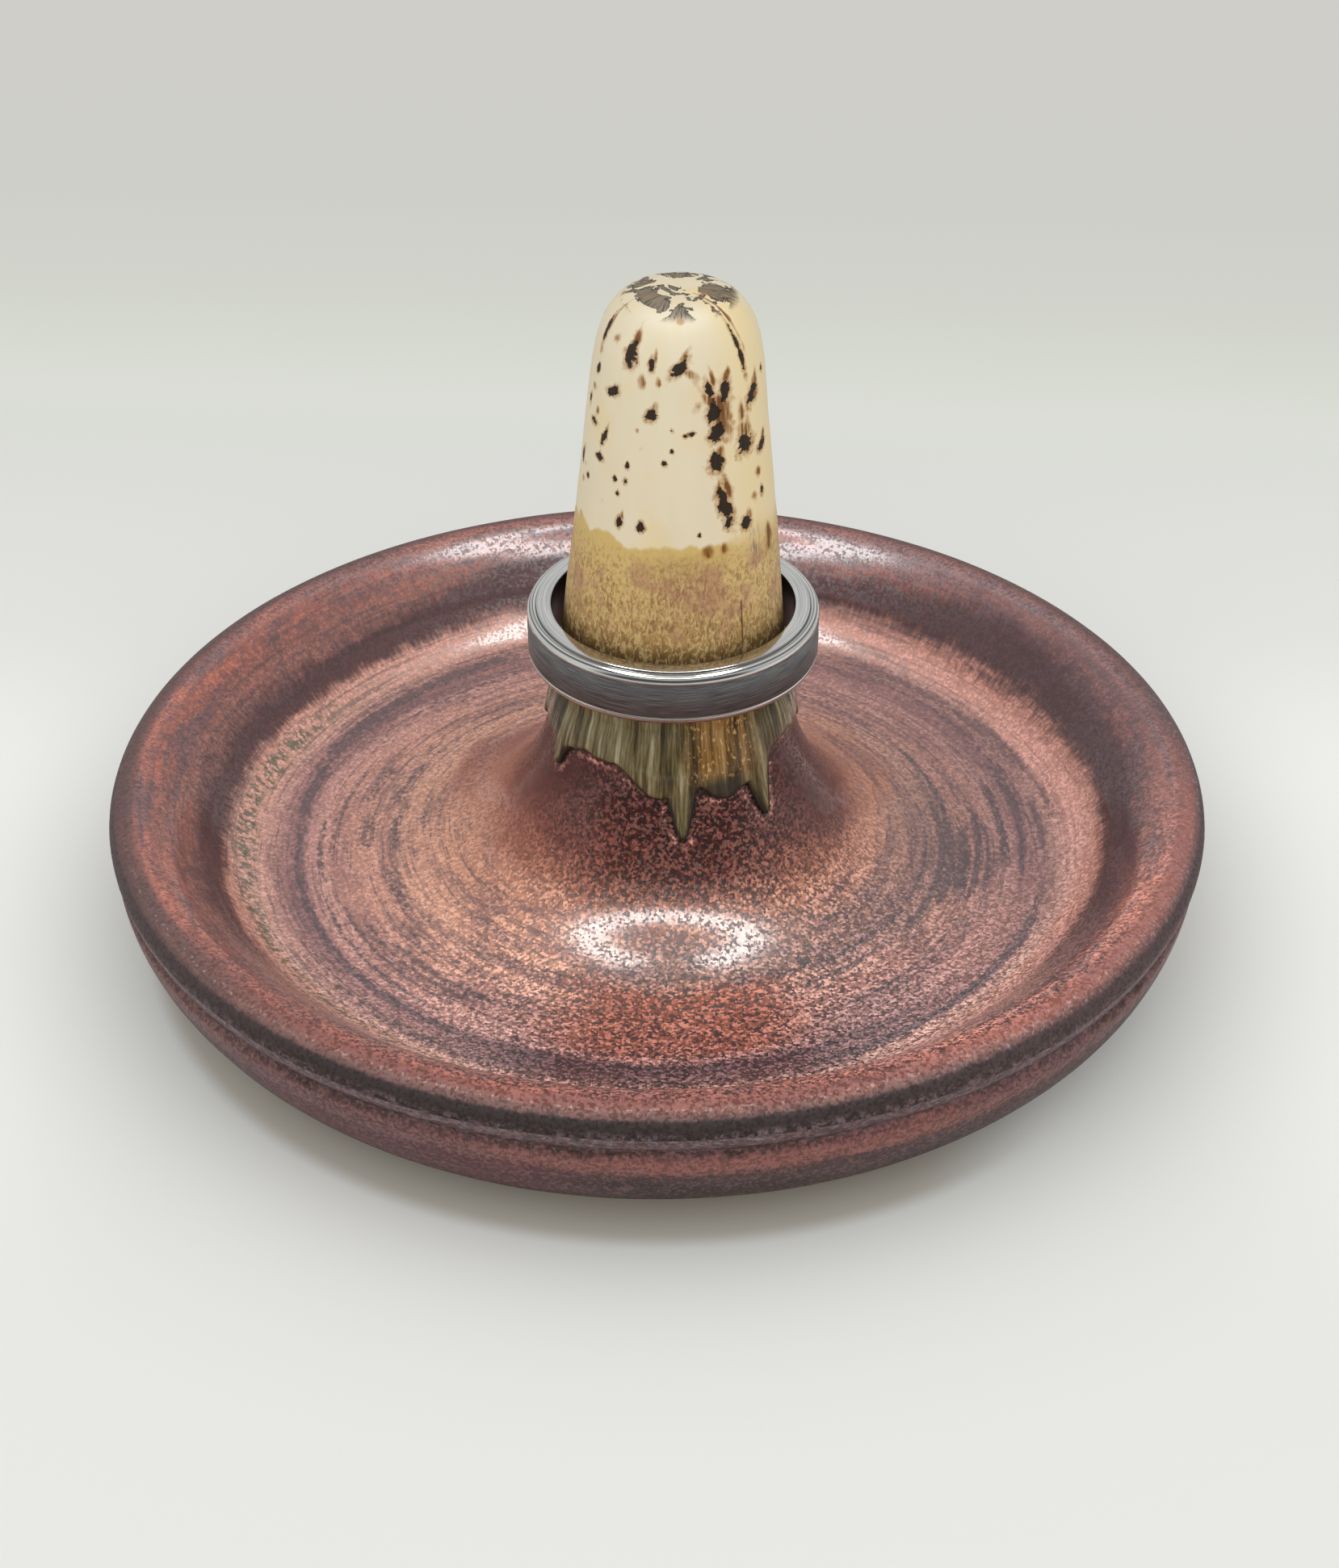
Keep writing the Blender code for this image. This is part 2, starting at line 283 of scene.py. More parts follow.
def make_piece(name, points, faces, closed=True):
    """A mesh object in metres, welded and, where it is closed, with its faces pointing out."""
    mesh = bpy.data.meshes.new(name)
    mesh.from_pydata([tuple(p) for p in np.asarray(points) * MM], [], faces)
    work = bmesh.new()
    work.from_mesh(mesh)
    bmesh.ops.remove_doubles(work, verts=work.verts, dist=1e-7)
    bmesh.ops.dissolve_degenerate(work, edges=work.edges, dist=1e-8)
    if closed:
        bmesh.ops.recalc_face_normals(work, faces=work.faces)
    work.to_mesh(mesh)
    work.free()
    mesh.shade_smooth()
    obj = bpy.data.objects.new(name, mesh)
    bpy.context.scene.collection.objects.link(obj)
    return obj


def by_hand(turn_cos, turn_sin, across, table):
    return sum(
        depth * noise.noise((turn_cos * around, turn_sin * around, (across + shift) * rows))
        for depth, shift, around, rows in table)


def dish_relief(point, row):
    """Moves the middle onto the throwing centre, and adds throwing lines and an uneven rim."""
    radius = math.hypot(point.x, point.y) or 1
    c, s = point.x / radius, point.y / radius
    inner, outer = WHEEL_RADII
    share = smooth_step((outer - radius) / (outer - inner))
    shift = Vector((share * THROW_CENTRE[0], share * THROW_CENTRE[1], 0))
    if FLOOR_START <= row < FLOOR_END:
        fade = smooth_step((radius - 20) / 6) * smooth_step((43.5 - radius) / 6)
        shift.z += by_hand(c, s, radius, THROWING_LINES) * fade
    if row >= UNEVEN_START and point.z > RECESS_HEIGHT + 1:
        uneven = by_hand(c, s, point.z, UNEVEN_RIM) - RIM_WEAR
        shift.x += c * uneven
        shift.y += s * uneven
    return shift


def post_relief(point, row):
    """Moves the post onto its leaning axis, and makes its outside a little lumpy."""
    x, y = post_axis(point.z)
    radius = math.hypot(point.x, point.y)
    shift = Vector((x, y, 0))
    if radius > BORE_RADIUS + 0.2 and point.z > SEAT_HEIGHT + 1:
        c, s = point.x / radius, point.y / radius
        lumps = by_hand(c, s, point.z, POST_LUMPS)
        shift.x += c * lumps
        shift.y += s * lumps
    return shift


def glaze_edge_height(turn_share):
    """How high the runny glaze's edge is at a share of a turn."""
    drop = 0
    for place, half_width, length in GLAZE_RUNS:
        away = abs((turn_share - place + 0.5) % 1 - 0.5)
        drop = max(drop, length * math.exp(-((away / half_width) ** 2)))
    angle = math.tau * turn_share
    ripple = 0.35 * noise.noise((math.cos(angle) * 9, math.sin(angle) * 9, 2.5))
    return GLAZE_EDGE_HEIGHT - GLAZE_RUN_DROP * drop + ripple


def make_glaze_runs(angles, edge):
    """The glaze's coat: thin where it leaves the post, a rounded bead along its edge."""
    shares = np.array([0, .01, .025, .05, .08, .12, .17, .23, .3, .38, .47, .57, .68, .8, .9, 1])
    heights = edge[:, None] + (GLAZE_TOP_HEIGHT - edge[:, None]) * shares[None]
    clay = np.vectorize(flank_radius)(heights)
    away = np.full(heights.shape, FAR)
    for step in range(-40, 41):
        other = np.roll(edge, -step)[:, None]
        sideways = step * math.tau / EDGE_STEPS * clay
        away = np.minimum(away, np.hypot(sideways, heights - other))
    bead = np.sqrt(np.clip(1 - (1 - np.clip(away / BEAD_WIDTH, 0, 1)) ** 2, 0, 1))
    down = np.clip((GLAZE_TOP_HEIGHT - heights) / COAT_GAIN_DEPTH, 0, 1) ** 1.2
    full = COAT_THICKNESS[0] + COAT_THICKNESS[1] * down
    full = full * (0.85 + 0.3 * np.clip(away / 1.5, 0, 1))
    streak = np.array([[noise.noise((math.cos(a) * 16, math.sin(a) * 16, z * 0.12))
                        for z in row] for a, row in zip(angles, heights)])
    thick = COAT_LINE + bead * (full + STREAK_RELIEF * streak * np.clip(away, 0, 1))
    fade = np.clip((1 - shares) / COAT_FADE, 0, 1)[None]
    thick = COAT_TOP + (thick - COAT_TOP) * eased(fade)
    centre = np.array([[post_axis(z) for z in row] for row in heights])
    out = []
    for radius in (clay + thick, clay - COAT_INSIDE):
        out.append(np.stack([
            centre[..., 0] + radius * np.cos(angles)[:, None],
            centre[..., 1] + radius * np.sin(angles)[:, None], heights,
        ], -1))
    points = np.concatenate([out[0], out[1][:, ::-1]], 1)
    faces = loop_faces(*points.shape[:2], True)
    return make_piece("glaze_runs_coat", points.reshape(-1, 3), faces)


# Materials

def tone(red, green, blue):
    """A colour as it reads on screen, 0 to 255, in the renderer's own terms."""
    def linear(value):
        value /= 255
        return value / 12.92 if value < 0.04045 else ((value + 0.055) / 1.055) ** 2.4
    return (linear(red), linear(green), linear(blue), 1.0)


class Recipe:
    """Short calls for the nodes that a look is mixed from, in one node tree. colour is what has
    been laid so far. east, north and across say where a point is: the cosine and sine of its turn,
    and its radius or height in mm."""

    def __init__(self, tree):
        self.tree = tree

    def add(self, kind, inputs=None, **settings):
        node = self.tree.nodes.new("ShaderNode" + kind)
        for key, value in settings.items():
            setattr(node, key, value)
        for socket, value in (inputs or {}).items():
            self.feed(node.inputs[socket], value)
        return node

    def feed(self, socket, value):
        if isinstance(value, bpy.types.NodeSocket):
            self.tree.links.new(value, socket)
        else:
            socket.default_value = value

    def maths(self, operation, *values):
        node = self.add("Math", operation=operation)
        for socket, value in zip(node.inputs, values):
            self.feed(socket, value)
        return node.outputs[0]

    def plus(self, *values):
        return reduce(lambda first, second: self.maths("ADD", first, second), values)

    def product(self, *values):
        return reduce(lambda first, second: self.maths("MULTIPLY", first, second), values)

    def minus(self, first, second):
        return self.maths("SUBTRACT", first, second)

    def larger(self, first, second):
        return self.maths("MAXIMUM", first, second)

    def centred(self, value, amount):
        """A noise moved to lie round 0, times amount."""
        return self.product(self.minus(value, 0.5), amount)

    def in_mm(self, place):
        parts = self.add("SeparateXYZ", {"Vector": place}).outputs
        return [self.product(part, 1 / MM) for part in parts]

    def hypot(self, x, y):
        return self.maths("SQRT", self.plus(self.maths("POWER", x, 2), self.maths("POWER", y, 2)))

    def bearings(self, x, y):
        """Distance from the axis, and the cosine and sine of the turn."""
        radius = self.hypot(x, y)
        return radius, self.maths("DIVIDE", x, radius), self.maths("DIVIDE", y, radius)

    def rise(self, value, low, high, end=1):
        """0 up to low, end from high on, smooth between. low may be above high."""
        flip = low > high
        node = self.add("MapRange", {
            "Value": value, "From Min": min(low, high), "From Max": max(low, high),
            "To Min": end if flip else 0, "To Max": 0 if flip else end,
        }, interpolation_type="SMOOTHSTEP")
        return node.outputs["Result"]

    def zone(self, value, low, high, soft):
        return self.product(
            self.rise(value, low - soft, low + soft), self.rise(value, high + soft, high - soft))

    def mix(self, share, first, second, blend="MIX", kind="RGBA"):
        node = self.add("Mix", data_type=kind, blend_type=blend)
        for label, value in (("Factor", share), ("A", first), ("B", second)):
            self.feed(node.inputs[label], value)
        return node.outputs["Result"]

    def ramp(self, value, low, high, stops):
        """Colours by value: stops are (value, red, green, blue), from low to high."""
        share = self.add("MapRange", {"Value": value, "From Min": low, "From Max": high})
        node = self.add("ValToRGB", {"Fac": share.outputs["Result"]})
        marks = node.color_ramp.elements
        while len(marks) < len(stops):
            marks.new(0.5)
        for mark, stop in zip(marks, stops):
            mark.position = (stop[0] - low) / (high - low)
        for mark, stop in zip(marks, stops):
            mark.color = tone(*stop[1:])
        return node.outputs["Color"]

    def noise(self, vector, scale, detail=2, roughness=0.5, distortion=0):
        node = self.add("TexNoise", {
            "Vector": vector, "Scale": scale, "Detail": detail, "Roughness": roughness,
            "Distortion": distortion,
        })
        return node.outputs["Fac"]

    def cells(self, place, scale):
        """Cells like crystals: a chance value for each, and how far its middle is."""
        node = self.add("TexVoronoi", {"Vector": place, "Scale": scale, "Randomness": 1})
        own = self.add("SeparateColor", {"Color": node.outputs["Color"]}).outputs["Red"]
        return own, node.outputs["Distance"]

    def group(self, tree, **inputs):
        node = self.add("Group", node_tree=tree)
        for label, value in inputs.items():
            self.feed(node.inputs[label.replace("_", " ")], value)
        return node.outputs

    def stand(self, east, north, across):
        self.east, self.north, self.across = east, north, across

    def wound(self, around, rows, *settings):
        """Noise wound round the axis: around is its fineness that way, rows its fineness across."""
        point = self.add("CombineXYZ", {
            "X": self.product(self.east, around), "Y": self.product(self.north, around),
            "Z": self.product(self.across, rows),
        })
        return self.noise(point.outputs[0], 1, *settings)

    def streaks(self, around, rows, detail=2, shift=0, breakup=0.5):
        return self.group(
            STREAKS, East=self.east, North=self.north, Across=self.plus(self.across, shift),
            Around=around, Rows=rows, Detail=detail, Breakup=breakup)["Mask"]

    def side(self, turn, half_width, softness):
        return self.group(SIDE, East=self.east, North=self.north, Turn=turn,
                          Half_width=half_width, Softness=softness)["Mask"]

    def lay(self, share, colour, *masks):
        """Lays a colour, 0 to 255, over what is there, as strong as share times the masks."""
        self.colour = self.mix(self.product(*masks, share), self.colour, tone(*colour))

    def lay_bands(self, where, rows):
        """Lays rows of share, colour, side of the pot (turn, half width and softness in degrees)
        and band in mm (low, high and softness, or the two values that it rises between)."""
        for share, colour, facing, band in rows:
            mask = self.zone if len(band) == 3 else self.rise
            self.lay(share, colour, self.side(*facing), mask(where, *band))


def make_group(name, fill, outputs, **inputs):
    """A node group of floats. An input without a value is a place, and Color is a colour."""
    tree = bpy.data.node_groups.new(name, "ShaderNodeTree")

    def socket(label, way, kind):
        return tree.interface.new_socket(label, in_out=way, socket_type="NodeSocket" + kind)

    for label, value in inputs.items():
        made = socket(label.replace("_", " "), "INPUT", "Vector" if value is None else "Float")
        if value is not None:
            made.default_value = value
    for label in outputs:
        socket(label, "OUTPUT", "Color" if label == "Color" else "Float")
    source, sink = tree.nodes.new("NodeGroupInput"), tree.nodes.new("NodeGroupOutput")
    for label, value in fill(Recipe(tree), source.outputs).items():
        tree.links.new(value, sink.inputs[label])
    return tree


def fill_wheel(mixing, given):
    """Where a point is on the wheel: its radius and height in mm and its direction."""
    x, y, z = mixing.in_mm(given["Place"])
    lean = mixing.product(mixing.minus(z, SEAT_HEIGHT), given["Lean"])
    lean = mixing.larger(lean, 0)
    share = mixing.rise(mixing.hypot(x, y), WHEEL_RADII[1], WHEEL_RADII[0])
    share = mixing.larger(share, given["Hold"])
    x = mixing.minus(x, mixing.plus(mixing.product(share, THROW_CENTRE[0]), lean))
    y = mixing.minus(y, mixing.product(share, THROW_CENTRE[1]))
    radius, east, north = mixing.bearings(x, y)
    return {"Radius": radius, "Height": z, "East": east, "North": north}


def fill_streaks(mixing, given):
    """Noise drawn out round the wheel, or down the post where Around is large."""
    mixing.stand(given["East"], given["North"], given["Across"])
    return {"Mask": mixing.wound(
        given["Around"], given["Rows"], given["Detail"], given["Breakup"])}


def fill_grain(mixing, given):
    """The glaze's crystal grain: each crystal has a tone of its own."""
    own = mixing.cells(given["Place"], mixing.maths("DIVIDE", 1 / MM, given["Size"]))[0]
    soft = mixing.noise(given["Place"], mixing.maths("DIVIDE", 0.7 / MM, given["Size"]), 2, 0.6)
    return {"Mask": mixing.plus(mixing.product(own, 0.75), mixing.product(soft, 0.25))}


def fill_side(mixing, given):
    """One side of the pot: 1 within Half width degrees of Turn, fading over Softness."""
    turn = mixing.maths("RADIANS", given["Turn"])
    towards = mixing.plus(mixing.product(given["East"], mixing.maths("COSINE", turn)),
                          mixing.product(given["North"], mixing.maths("SINE", turn)))
    away = mixing.maths("DEGREES", mixing.maths("ARCCOSINE", towards))
    past = mixing.minus(away, given["Half width"])
    return {"Mask": mixing.rise(mixing.maths("DIVIDE", past, given["Softness"]), 1, -1)}


WHEEL = make_group("Place on the wheel", fill_wheel, ("Radius", "Height", "East", "North"),
                   Place=None, Lean=0, Hold=0)
STREAKS = make_group("Drawn streaks", fill_streaks, ("Mask",), East=0, North=0, Across=0,
                     Around=1, Rows=1, Detail=2, Breakup=0.5)
GRAIN = make_group("Crystal grain", fill_grain, ("Mask",), Place=None, Size=0.3)
SIDE = make_group("Side of the pot", fill_side, ("Mask",), East=0, North=0, Turn=0,
                  Half_width=30, Softness=10)


class Look(Recipe):
    """A material, mixed from the object's own place."""

    def __init__(self, name):
        self.made = bpy.data.materials.new(name)
        self.made.use_nodes = True
        super().__init__(self.made.node_tree)
        self.shader = self.tree.nodes["Principled BSDF"]
        self.place = self.add("TexCoord").outputs["Object"]

    def kept(self, name):
        """A value that the mesh keeps at each of its points."""
        return self.add("Attribute", attribute_name=name).outputs["Fac"]

    def grain(self, size):
        return self.group(GRAIN, Place=self.place, Size=size)["Mask"]

    def finish(self, rough, relief=None, **constants):
        """The material, with its colour, roughness, relief (height, strength and depth in mm) and
        the shader's constants."""
        self.feed(self.shader.inputs["Base Color"], self.colour)
        self.feed(self.shader.inputs["Roughness"], rough)
        if relief:
            height, strength, depth = relief
            bump = self.add("Bump", {
                "Height": height, "Strength": strength, "Distance": depth * MM})
            self.feed(self.shader.inputs["Normal"], bump.outputs["Normal"])
        for label, value in constants.items():
            self.shader.inputs[label.replace("_", " ")].default_value = value
        return self.made

    def show(self, node):
        """The material, with a node of its own in place of the usual shader."""
        self.tree.nodes.remove(self.shader)
        self.feed(self.tree.nodes["Material Output"].inputs["Surface"], node.outputs[0])
        return self.made


def wheel_look(name, across, **settings):
    """A look laid out on the wheel, by radius or by height."""
    look = Look(name)
    found = look.group(WHEEL, Place=look.place, **settings)
    look.stand(found["East"], found["North"], found[across])
    return look


def keep(obj, name, values):
    store = obj.data.attributes.new(name, "FLOAT", "POINT")
    store.data.foreach_set("value", np.asarray(values, np.float32))


# Dark strokes round the dish's floor: turn and radius at the start and at the end, half width in mm
# and depth
STROKES = (
    (-250, 33, -198, 32.1, 0.65, 0.85), (-202, 31.9, -184, 31.5, 0.6, 0.85),
    (-192, 31.2, -112, 31, 0.42, 0.75), (-118, 31, -62, 31.1, 0.25, 0.7),
    (-244, 24.4, -206, 24.2, 0.3, 0.45), (-209, 24.4, -189, 24.6, 0.38, 0.7),
    (-187, 23.9, -173, 23.8, 0.35, 0.6), (-171, 24.6, -151, 24.4, 0.45, 0.55),
    (-206, 26.8, -189, 26.6, 0.5, 0.5), (-189, 26.3, -175, 26.3, 0.5, 0.6),
    (-185, 25.6, -175, 25.6, 0.3, 0.45), (-206, 28.5, -168, 28.5, 0.22, 0.5),
    (-163, 28.5, -121, 28.5, 0.25, 0.7), (-157, 27.6, -121, 27.6, 0.25, 0.7),
    (-148, 27, -117, 26.8, 0.3, 0.8), (-187, 29.5, -165, 29.4, 0.3, 0.55),
    (-167, 29.6, -122, 29.6, 0.25, 0.55), (-150, 33, -112, 33.2, 0.6, 0.4),
    (-246, 30.2, -222, 30, 0.8, 0.4), (-152, 25.4, -116, 25, 0.3, 0.45),
    (-196, 22, -178, 21.4, 0.5, 0.3), (-150, 21.4, -128, 21, 0.5, 0.35),
    (-112, 23.9, -34, 24.1, 0.2, 0.8), (-40, 24.2, 16, 24.2, 0.42, 1),
    (-92, 22.6, 14, 22.6, 0.2, 0.8), (-66, 21.6, -22, 21.7, 0.35, 0.55),
    (-26, 25.1, 10, 25, 0.5, 0.95), (-19, 26.2, 5, 26.2, 0.65, 1),
    (-21, 27.3, 14, 28.1, 0.4, 0.85), (-17, 28.5, 8, 28.7, 0.28, 0.7),
    (5, 25.1, 34, 25.8, 0.4, 0.75), (-9, 30, 18, 30.2, 0.5, 0.75),
    (-13, 31.5, 14, 32, 0.3, 0.8), (3, 31.8, 23, 32.2, 0.6, 0.75),
    (18, 32.3, 62, 33.1, 0.28, 0.5), (-72, 33, -13, 33.5, 0.55, 0.8),
    (-5, 33.4, 11, 33.5, 0.45, 0.9), (0, 34.9, 36, 34.5, 0.35, 0.8),
    (14, 34.1, 62, 34, 0.7, 0.65), (-66, 28.2, -29, 28.2, 0.4, 0.35),
    (-68, 27.5, -18, 27.4, 0.18, 0.6), (-66, 31, -34, 31.2, 0.3, 0.35),
    (-84, 26, -52, 26.1, 0.16, 0.25), (-78, 29.4, -40, 29.6, 0.2, 0.35),
    (-128, 22.6, -100, 22.9, 0.22, 0.4), (-120, 29.6, -96, 29.4, 0.2, 0.5),
    (-58, 19.4, -20, 20, 0.7, 0.45), (-110, 21.9, -70, 21.6, 0.4, 0.5),
)


def red_glaze():
    """The dish's inside: salmon over plum, drawn round the wheel, with a crystal grain."""
    glaze = wheel_look("red_glaze", "Radius")
    radius, place, noise_at = glaze.across, glaze.place, glaze.noise
    rise, zone, side, streaks = glaze.rise, glaze.zone, glaze.side, glaze.streaks
    plus, product, lay, centred = glaze.plus, glaze.product, glaze.lay, glaze.centred

    # Bands by radius, with an edge that wanders and is frayed
    hairs = streaks(110, 0.9, 2, 60)
    banded = plus(radius, centred(streaks(1.3, 0.3, 3), 3),
                  centred(streaks(16, 1.2, 3, 40), 1.4), centred(hairs, 1.5))
    glaze.colour = glaze.ramp(banded, 11, 46, [
        (11, 78, 42, 38), (13.4, 116, 60, 47), (15, 158, 98, 76), (16.4, 198, 138, 112),
        (19, 210, 150, 122), (23.2, 222, 164, 138), (27, 211, 152, 133),
        (29.8, 210, 155, 142), (31.4, 158, 112, 108), (32.6, 180, 130, 122),
        (34.2, 224, 168, 149), (36.4, 226, 166, 148), (37.5, 178, 124, 106),
        (39, 164, 112, 98), (41.4, 152, 96, 84), (43, 160, 98, 84), (44.4, 150, 90, 80),
        (45.3, 120, 82, 76),
    ])

    # Lines that the brush of the wheel left: broad and soft, then thin and dark
    crumbs = streaks(46, 3, 2, 90, 0.6)

    def dithered(value, low, high, amount):
        return rise(plus(value, centred(crumbs, amount)), low, high)

    middle = zone(radius, 17, 34.2, 1.5)
    for colour, lines, low, high, area in (
        ((142, 98, 94), streaks(2.6, 0.55, 4, 11), 0.47, 0.63, middle),
        ((104, 80, 84), streaks(2, 1.1, 5, 23, 0.62), 0.52, 0.62, middle),
        ((92, 72, 76), streaks(2.6, 3, 4, 7, 0.6), 0.53, 0.62, zone(radius, 17, 47, 2)),
    ):
        lay(0.5, colour, dithered(lines, low, high, 0.25), area)
    lay(0.34, (122, 92, 94), side(-8, 58, 24), zone(banded, 19.5, 33, 2))
    more = dithered(streaks(3, 2.1, 5, 140, 0.65), 0.5, 0.6, 0.35)
    lay(0.36, (88, 70, 76), more, side(-24, 46, 22), zone(radius, 21, 34, 1.5))
    lay(0.76, (84, 70, 75), dithered(product(glaze.kept("strokes"), 1.25), 0.15, 0.9, 2))

    # Rust by the runs, pale and dark bands on the right, and the dark patch there
    lay(0.6, (112, 60, 52), side(10, 34, 18), zone(radius, 10.8, 16, 1.8))
    glaze.lay_bands(banded, (
        (0.4, (236, 168, 156), (-8, 62, 20), (35.2, 37.6, 0.7)),
        (0.5, (126, 92, 92), (22, 44, 14), (33.2, 35, 0.6)),
        (0.35, (218, 154, 138), (-29, 15, 10), (28.6, 32.4, 0.8)),
        (0.3, (214, 150, 132), (-50, 12, 8), (25.3, 26.9, 0.5)),
    ))
    patch = product(side(2, 24, 14), zone(banded, 22.8, 26.6, 1.2))
    lay(0.36, (88, 74, 76), dithered(patch, 0.2, 1, 2.2))

    # The hump's foot brown, with painted shade on its right; rust and plum at the front, partly
    # glaze colour
    #     # and partly painted where the post's darker reflection takes the sheen away; and the
    #     duller back
    glaze.lay_bands(banded, (
        # Painted shade: dark brown on the right of the hump's foot
        (0.7, (72, 46, 44), (-8, 30, 26), (17, 12.5)),
        (0.35, (112, 90, 92), (-20, 34, 16), (19, 24, 1.4)),
        (0.6, (152, 86, 68), (-212, 20, 16), (16.5, 21.5, 2)),
        # Partly painted reflection: rust and plum at the front also stand in for the post's darker
        # mirror image
        (0.8, (150, 82, 66), (-87, 20, 10), (22.3, 30, 1.2)),
        (0.75, (92, 62, 64), (-92, 28, 14), (30.4, 34.4, 0.8)),
        (0.75, (84, 46, 40), (-84, 24, 16), (16.6, 13.6)),
        (0.6, (128, 100, 94), (-80, 26, 14), (17.6, 22.6, 1)),
    ))
    lay(0.2, (112, 78, 74), side(90, 84, 50), zone(radius, 14, 36, 2))

    # The wall: plum in its hollow all round but the front. The hollow lies higher on the right and
    # lower on the left.
    hollow = plus(banded, product(side(155, 38, 8), 0.65), product(side(24, 44, 12), -0.65))
    glaze.lay_bands(hollow, (
        (0.9, (76, 48, 50), (95, 122, 12), (37.6, 40.3, 0.7)),
        (0.7, (82, 55, 58), (8, 44, 12), (37.6, 41.4, 0.7)),
    ))

    # Orange above the hollow, then violet-grey
    fire = rise(streaks(5, 0.9, 4, 31), 0.46, 0.58)
    lay(0.7, (190, 112, 92), fire, zone(banded, 41.6, 44.8, 0.6))
    glaze.lay_bands(banded, (
        (0.75, (216, 138, 118), (-34, 34, 12), (42.5, 44, 0.5)),
        (0.35, (98, 68, 66), (118, 30, 16), (42.4, 44.8, 0.6)),
        (0.6, (210, 142, 124), (-56, 12, 8), (41, 42.6, 0.5)),
        (0.3, (110, 70, 66), (-135, 12, 8), (42.6, 45, 0.6)),
    ))
    cool = dithered(streaks(4, 0.7, 4, 71), 0.5, 0.62, 0.3)
    lay(0.6, (104, 82, 86), cool, zone(banded, 40.4, 45.4, 0.8))
    lay(0.6, (114, 90, 92), side(28, 42, 16), zone(banded, 41.6, 44.8, 0.8))
    blotch = dithered(noise_at(place, 420, 4, 0.65), 0.5, 0.6, 0.3)
    lay(0.4, (96, 72, 78), blotch, zone(banded, 38.6, 44.6, 0.8))

    # Green flecks on the left, where the floor meets the wall
    flecks = rise(glaze.wound(60, 1.3, 4, 0.7, 0.3), 0.46, 0.54)
    lay(0.85, (94, 99, 78), flecks, side(-168, 46, 12), zone(banded, 34.7, 36.3, 0.6))

    # The lip: red-brown, greyer at the back, with frosty flecks on the right, a pale broken crest
    #     # at the front that is partly a painted highlight, whitish dots of painted highlight, then
    #     its dark face
    edge = plus(radius, centred(hairs, 0.3))
    lay(0.45, (96, 56, 50), rise(edge, 43.8, 44.6))
    glaze.lay_bands(edge, (
        (0.55, (138, 62, 44), (-90, 50, 20), (43.6, 45.4, 0.3)),
        (0.6, (76, 56, 54), (108, 114, 16), (44, 45)),
        (0.3, (98, 70, 72), (-4, 28, 14), (44.2, 44.8)),
    ))
    frost = rise(streaks(150, 5, 4, 17), 0.54, 0.64)
    lay(0.42, (164, 150, 162), frost, side(-26, 42, 14), zone(edge, 44.4, 46, 0.4))
    lay(0.4, (190, 110, 92), side(-32, 32, 12), zone(edge, 44.2, 45.5, 0.3))
    # Partly a painted highlight: the pale crest line at the front
    crest = rise(streaks(9, 3, 4, 9), 0.38, 0.6)
    lay(0.35, (136, 98, 82), crest, side(-90, 64, 20), zone(edge, 45.3, 45.68, 0.08))
    # Painted highlights: whitish dots along the crest at the front
    highlight_dots = rise(noise_at(place, 2600, 2), 0.56, 0.62)
    lay(0.35, (206, 178, 168), highlight_dots, side(-90, 70, 20), zone(edge, 45.1, 45.4, 0.1))
    face = rise(edge, 45.78, 46.02)
    lay(0.9, (64, 47, 47), face)
    lay(0.9, (40, 25, 21), face, side(-100, 40, 26))
    bloom = rise(noise_at(place, 1500, 4, 0.7), 0.46, 0.6)
    lay(0.6, (120, 98, 100), bloom, rise(radius, 46.3, 46.48))

    # Dark where the runny glaze ends, with a crumbly pink crust beyond it
    gap = plus(glaze.kept("glaze_gap"), centred(noise_at(place, 2200, 3, 0.6), 0.9))
    crust = rise(noise_at(place, 900, 4, 0.7), 0.47, 0.56)
    lay(0.7, (200, 136, 120), zone(gap, 0.32, 0.7, 0.14), crust)
    lay(0.9, (44, 34, 30), rise(gap, 0.34, 0.2))

    # Crystal grain: dark and light specks, strongest at the front, then coarse ones below the runs
    grain = glaze.grain(0.22)
    dark, light = rise(grain, 0.46, 0.26), rise(grain, 0.56, 0.78)
    strong = product(plus(0.27, product(side(-80, 46, 40), 0.73)),
                     glaze.minus(1, rise(radius, 43.6, 44.8, 0.7)))
    for mask, tint in ((dark, (0.15, 0.11, 0.13, 1)), (light, (2.2, 2.45, 2.65, 1))):
        glaze.colour = glaze.mix(product(mask, strong), glaze.colour, tint, "MULTIPLY")
    coarse = glaze.grain(0.24)
    near_runs = product(side(-82, 44, 24), rise(radius, 18.5, 15.5))
    lay(0.7, (44, 25, 24), rise(coarse, 0.46, 0.36), near_runs)
    lay(0.32, (176, 124, 110), rise(coarse, 0.6, 0.7), near_runs)

    matt_lip = product(rise(radius, 42.5, 44), 0.55)
    return glaze.finish(
        plus(product(dark, 0.25), 0.15, matt_lip), (noise_at(place, 3400, 2, 0.6), 0.35, 0.02),
        Specular_IOR_Level=0.38, IOR=1.55)


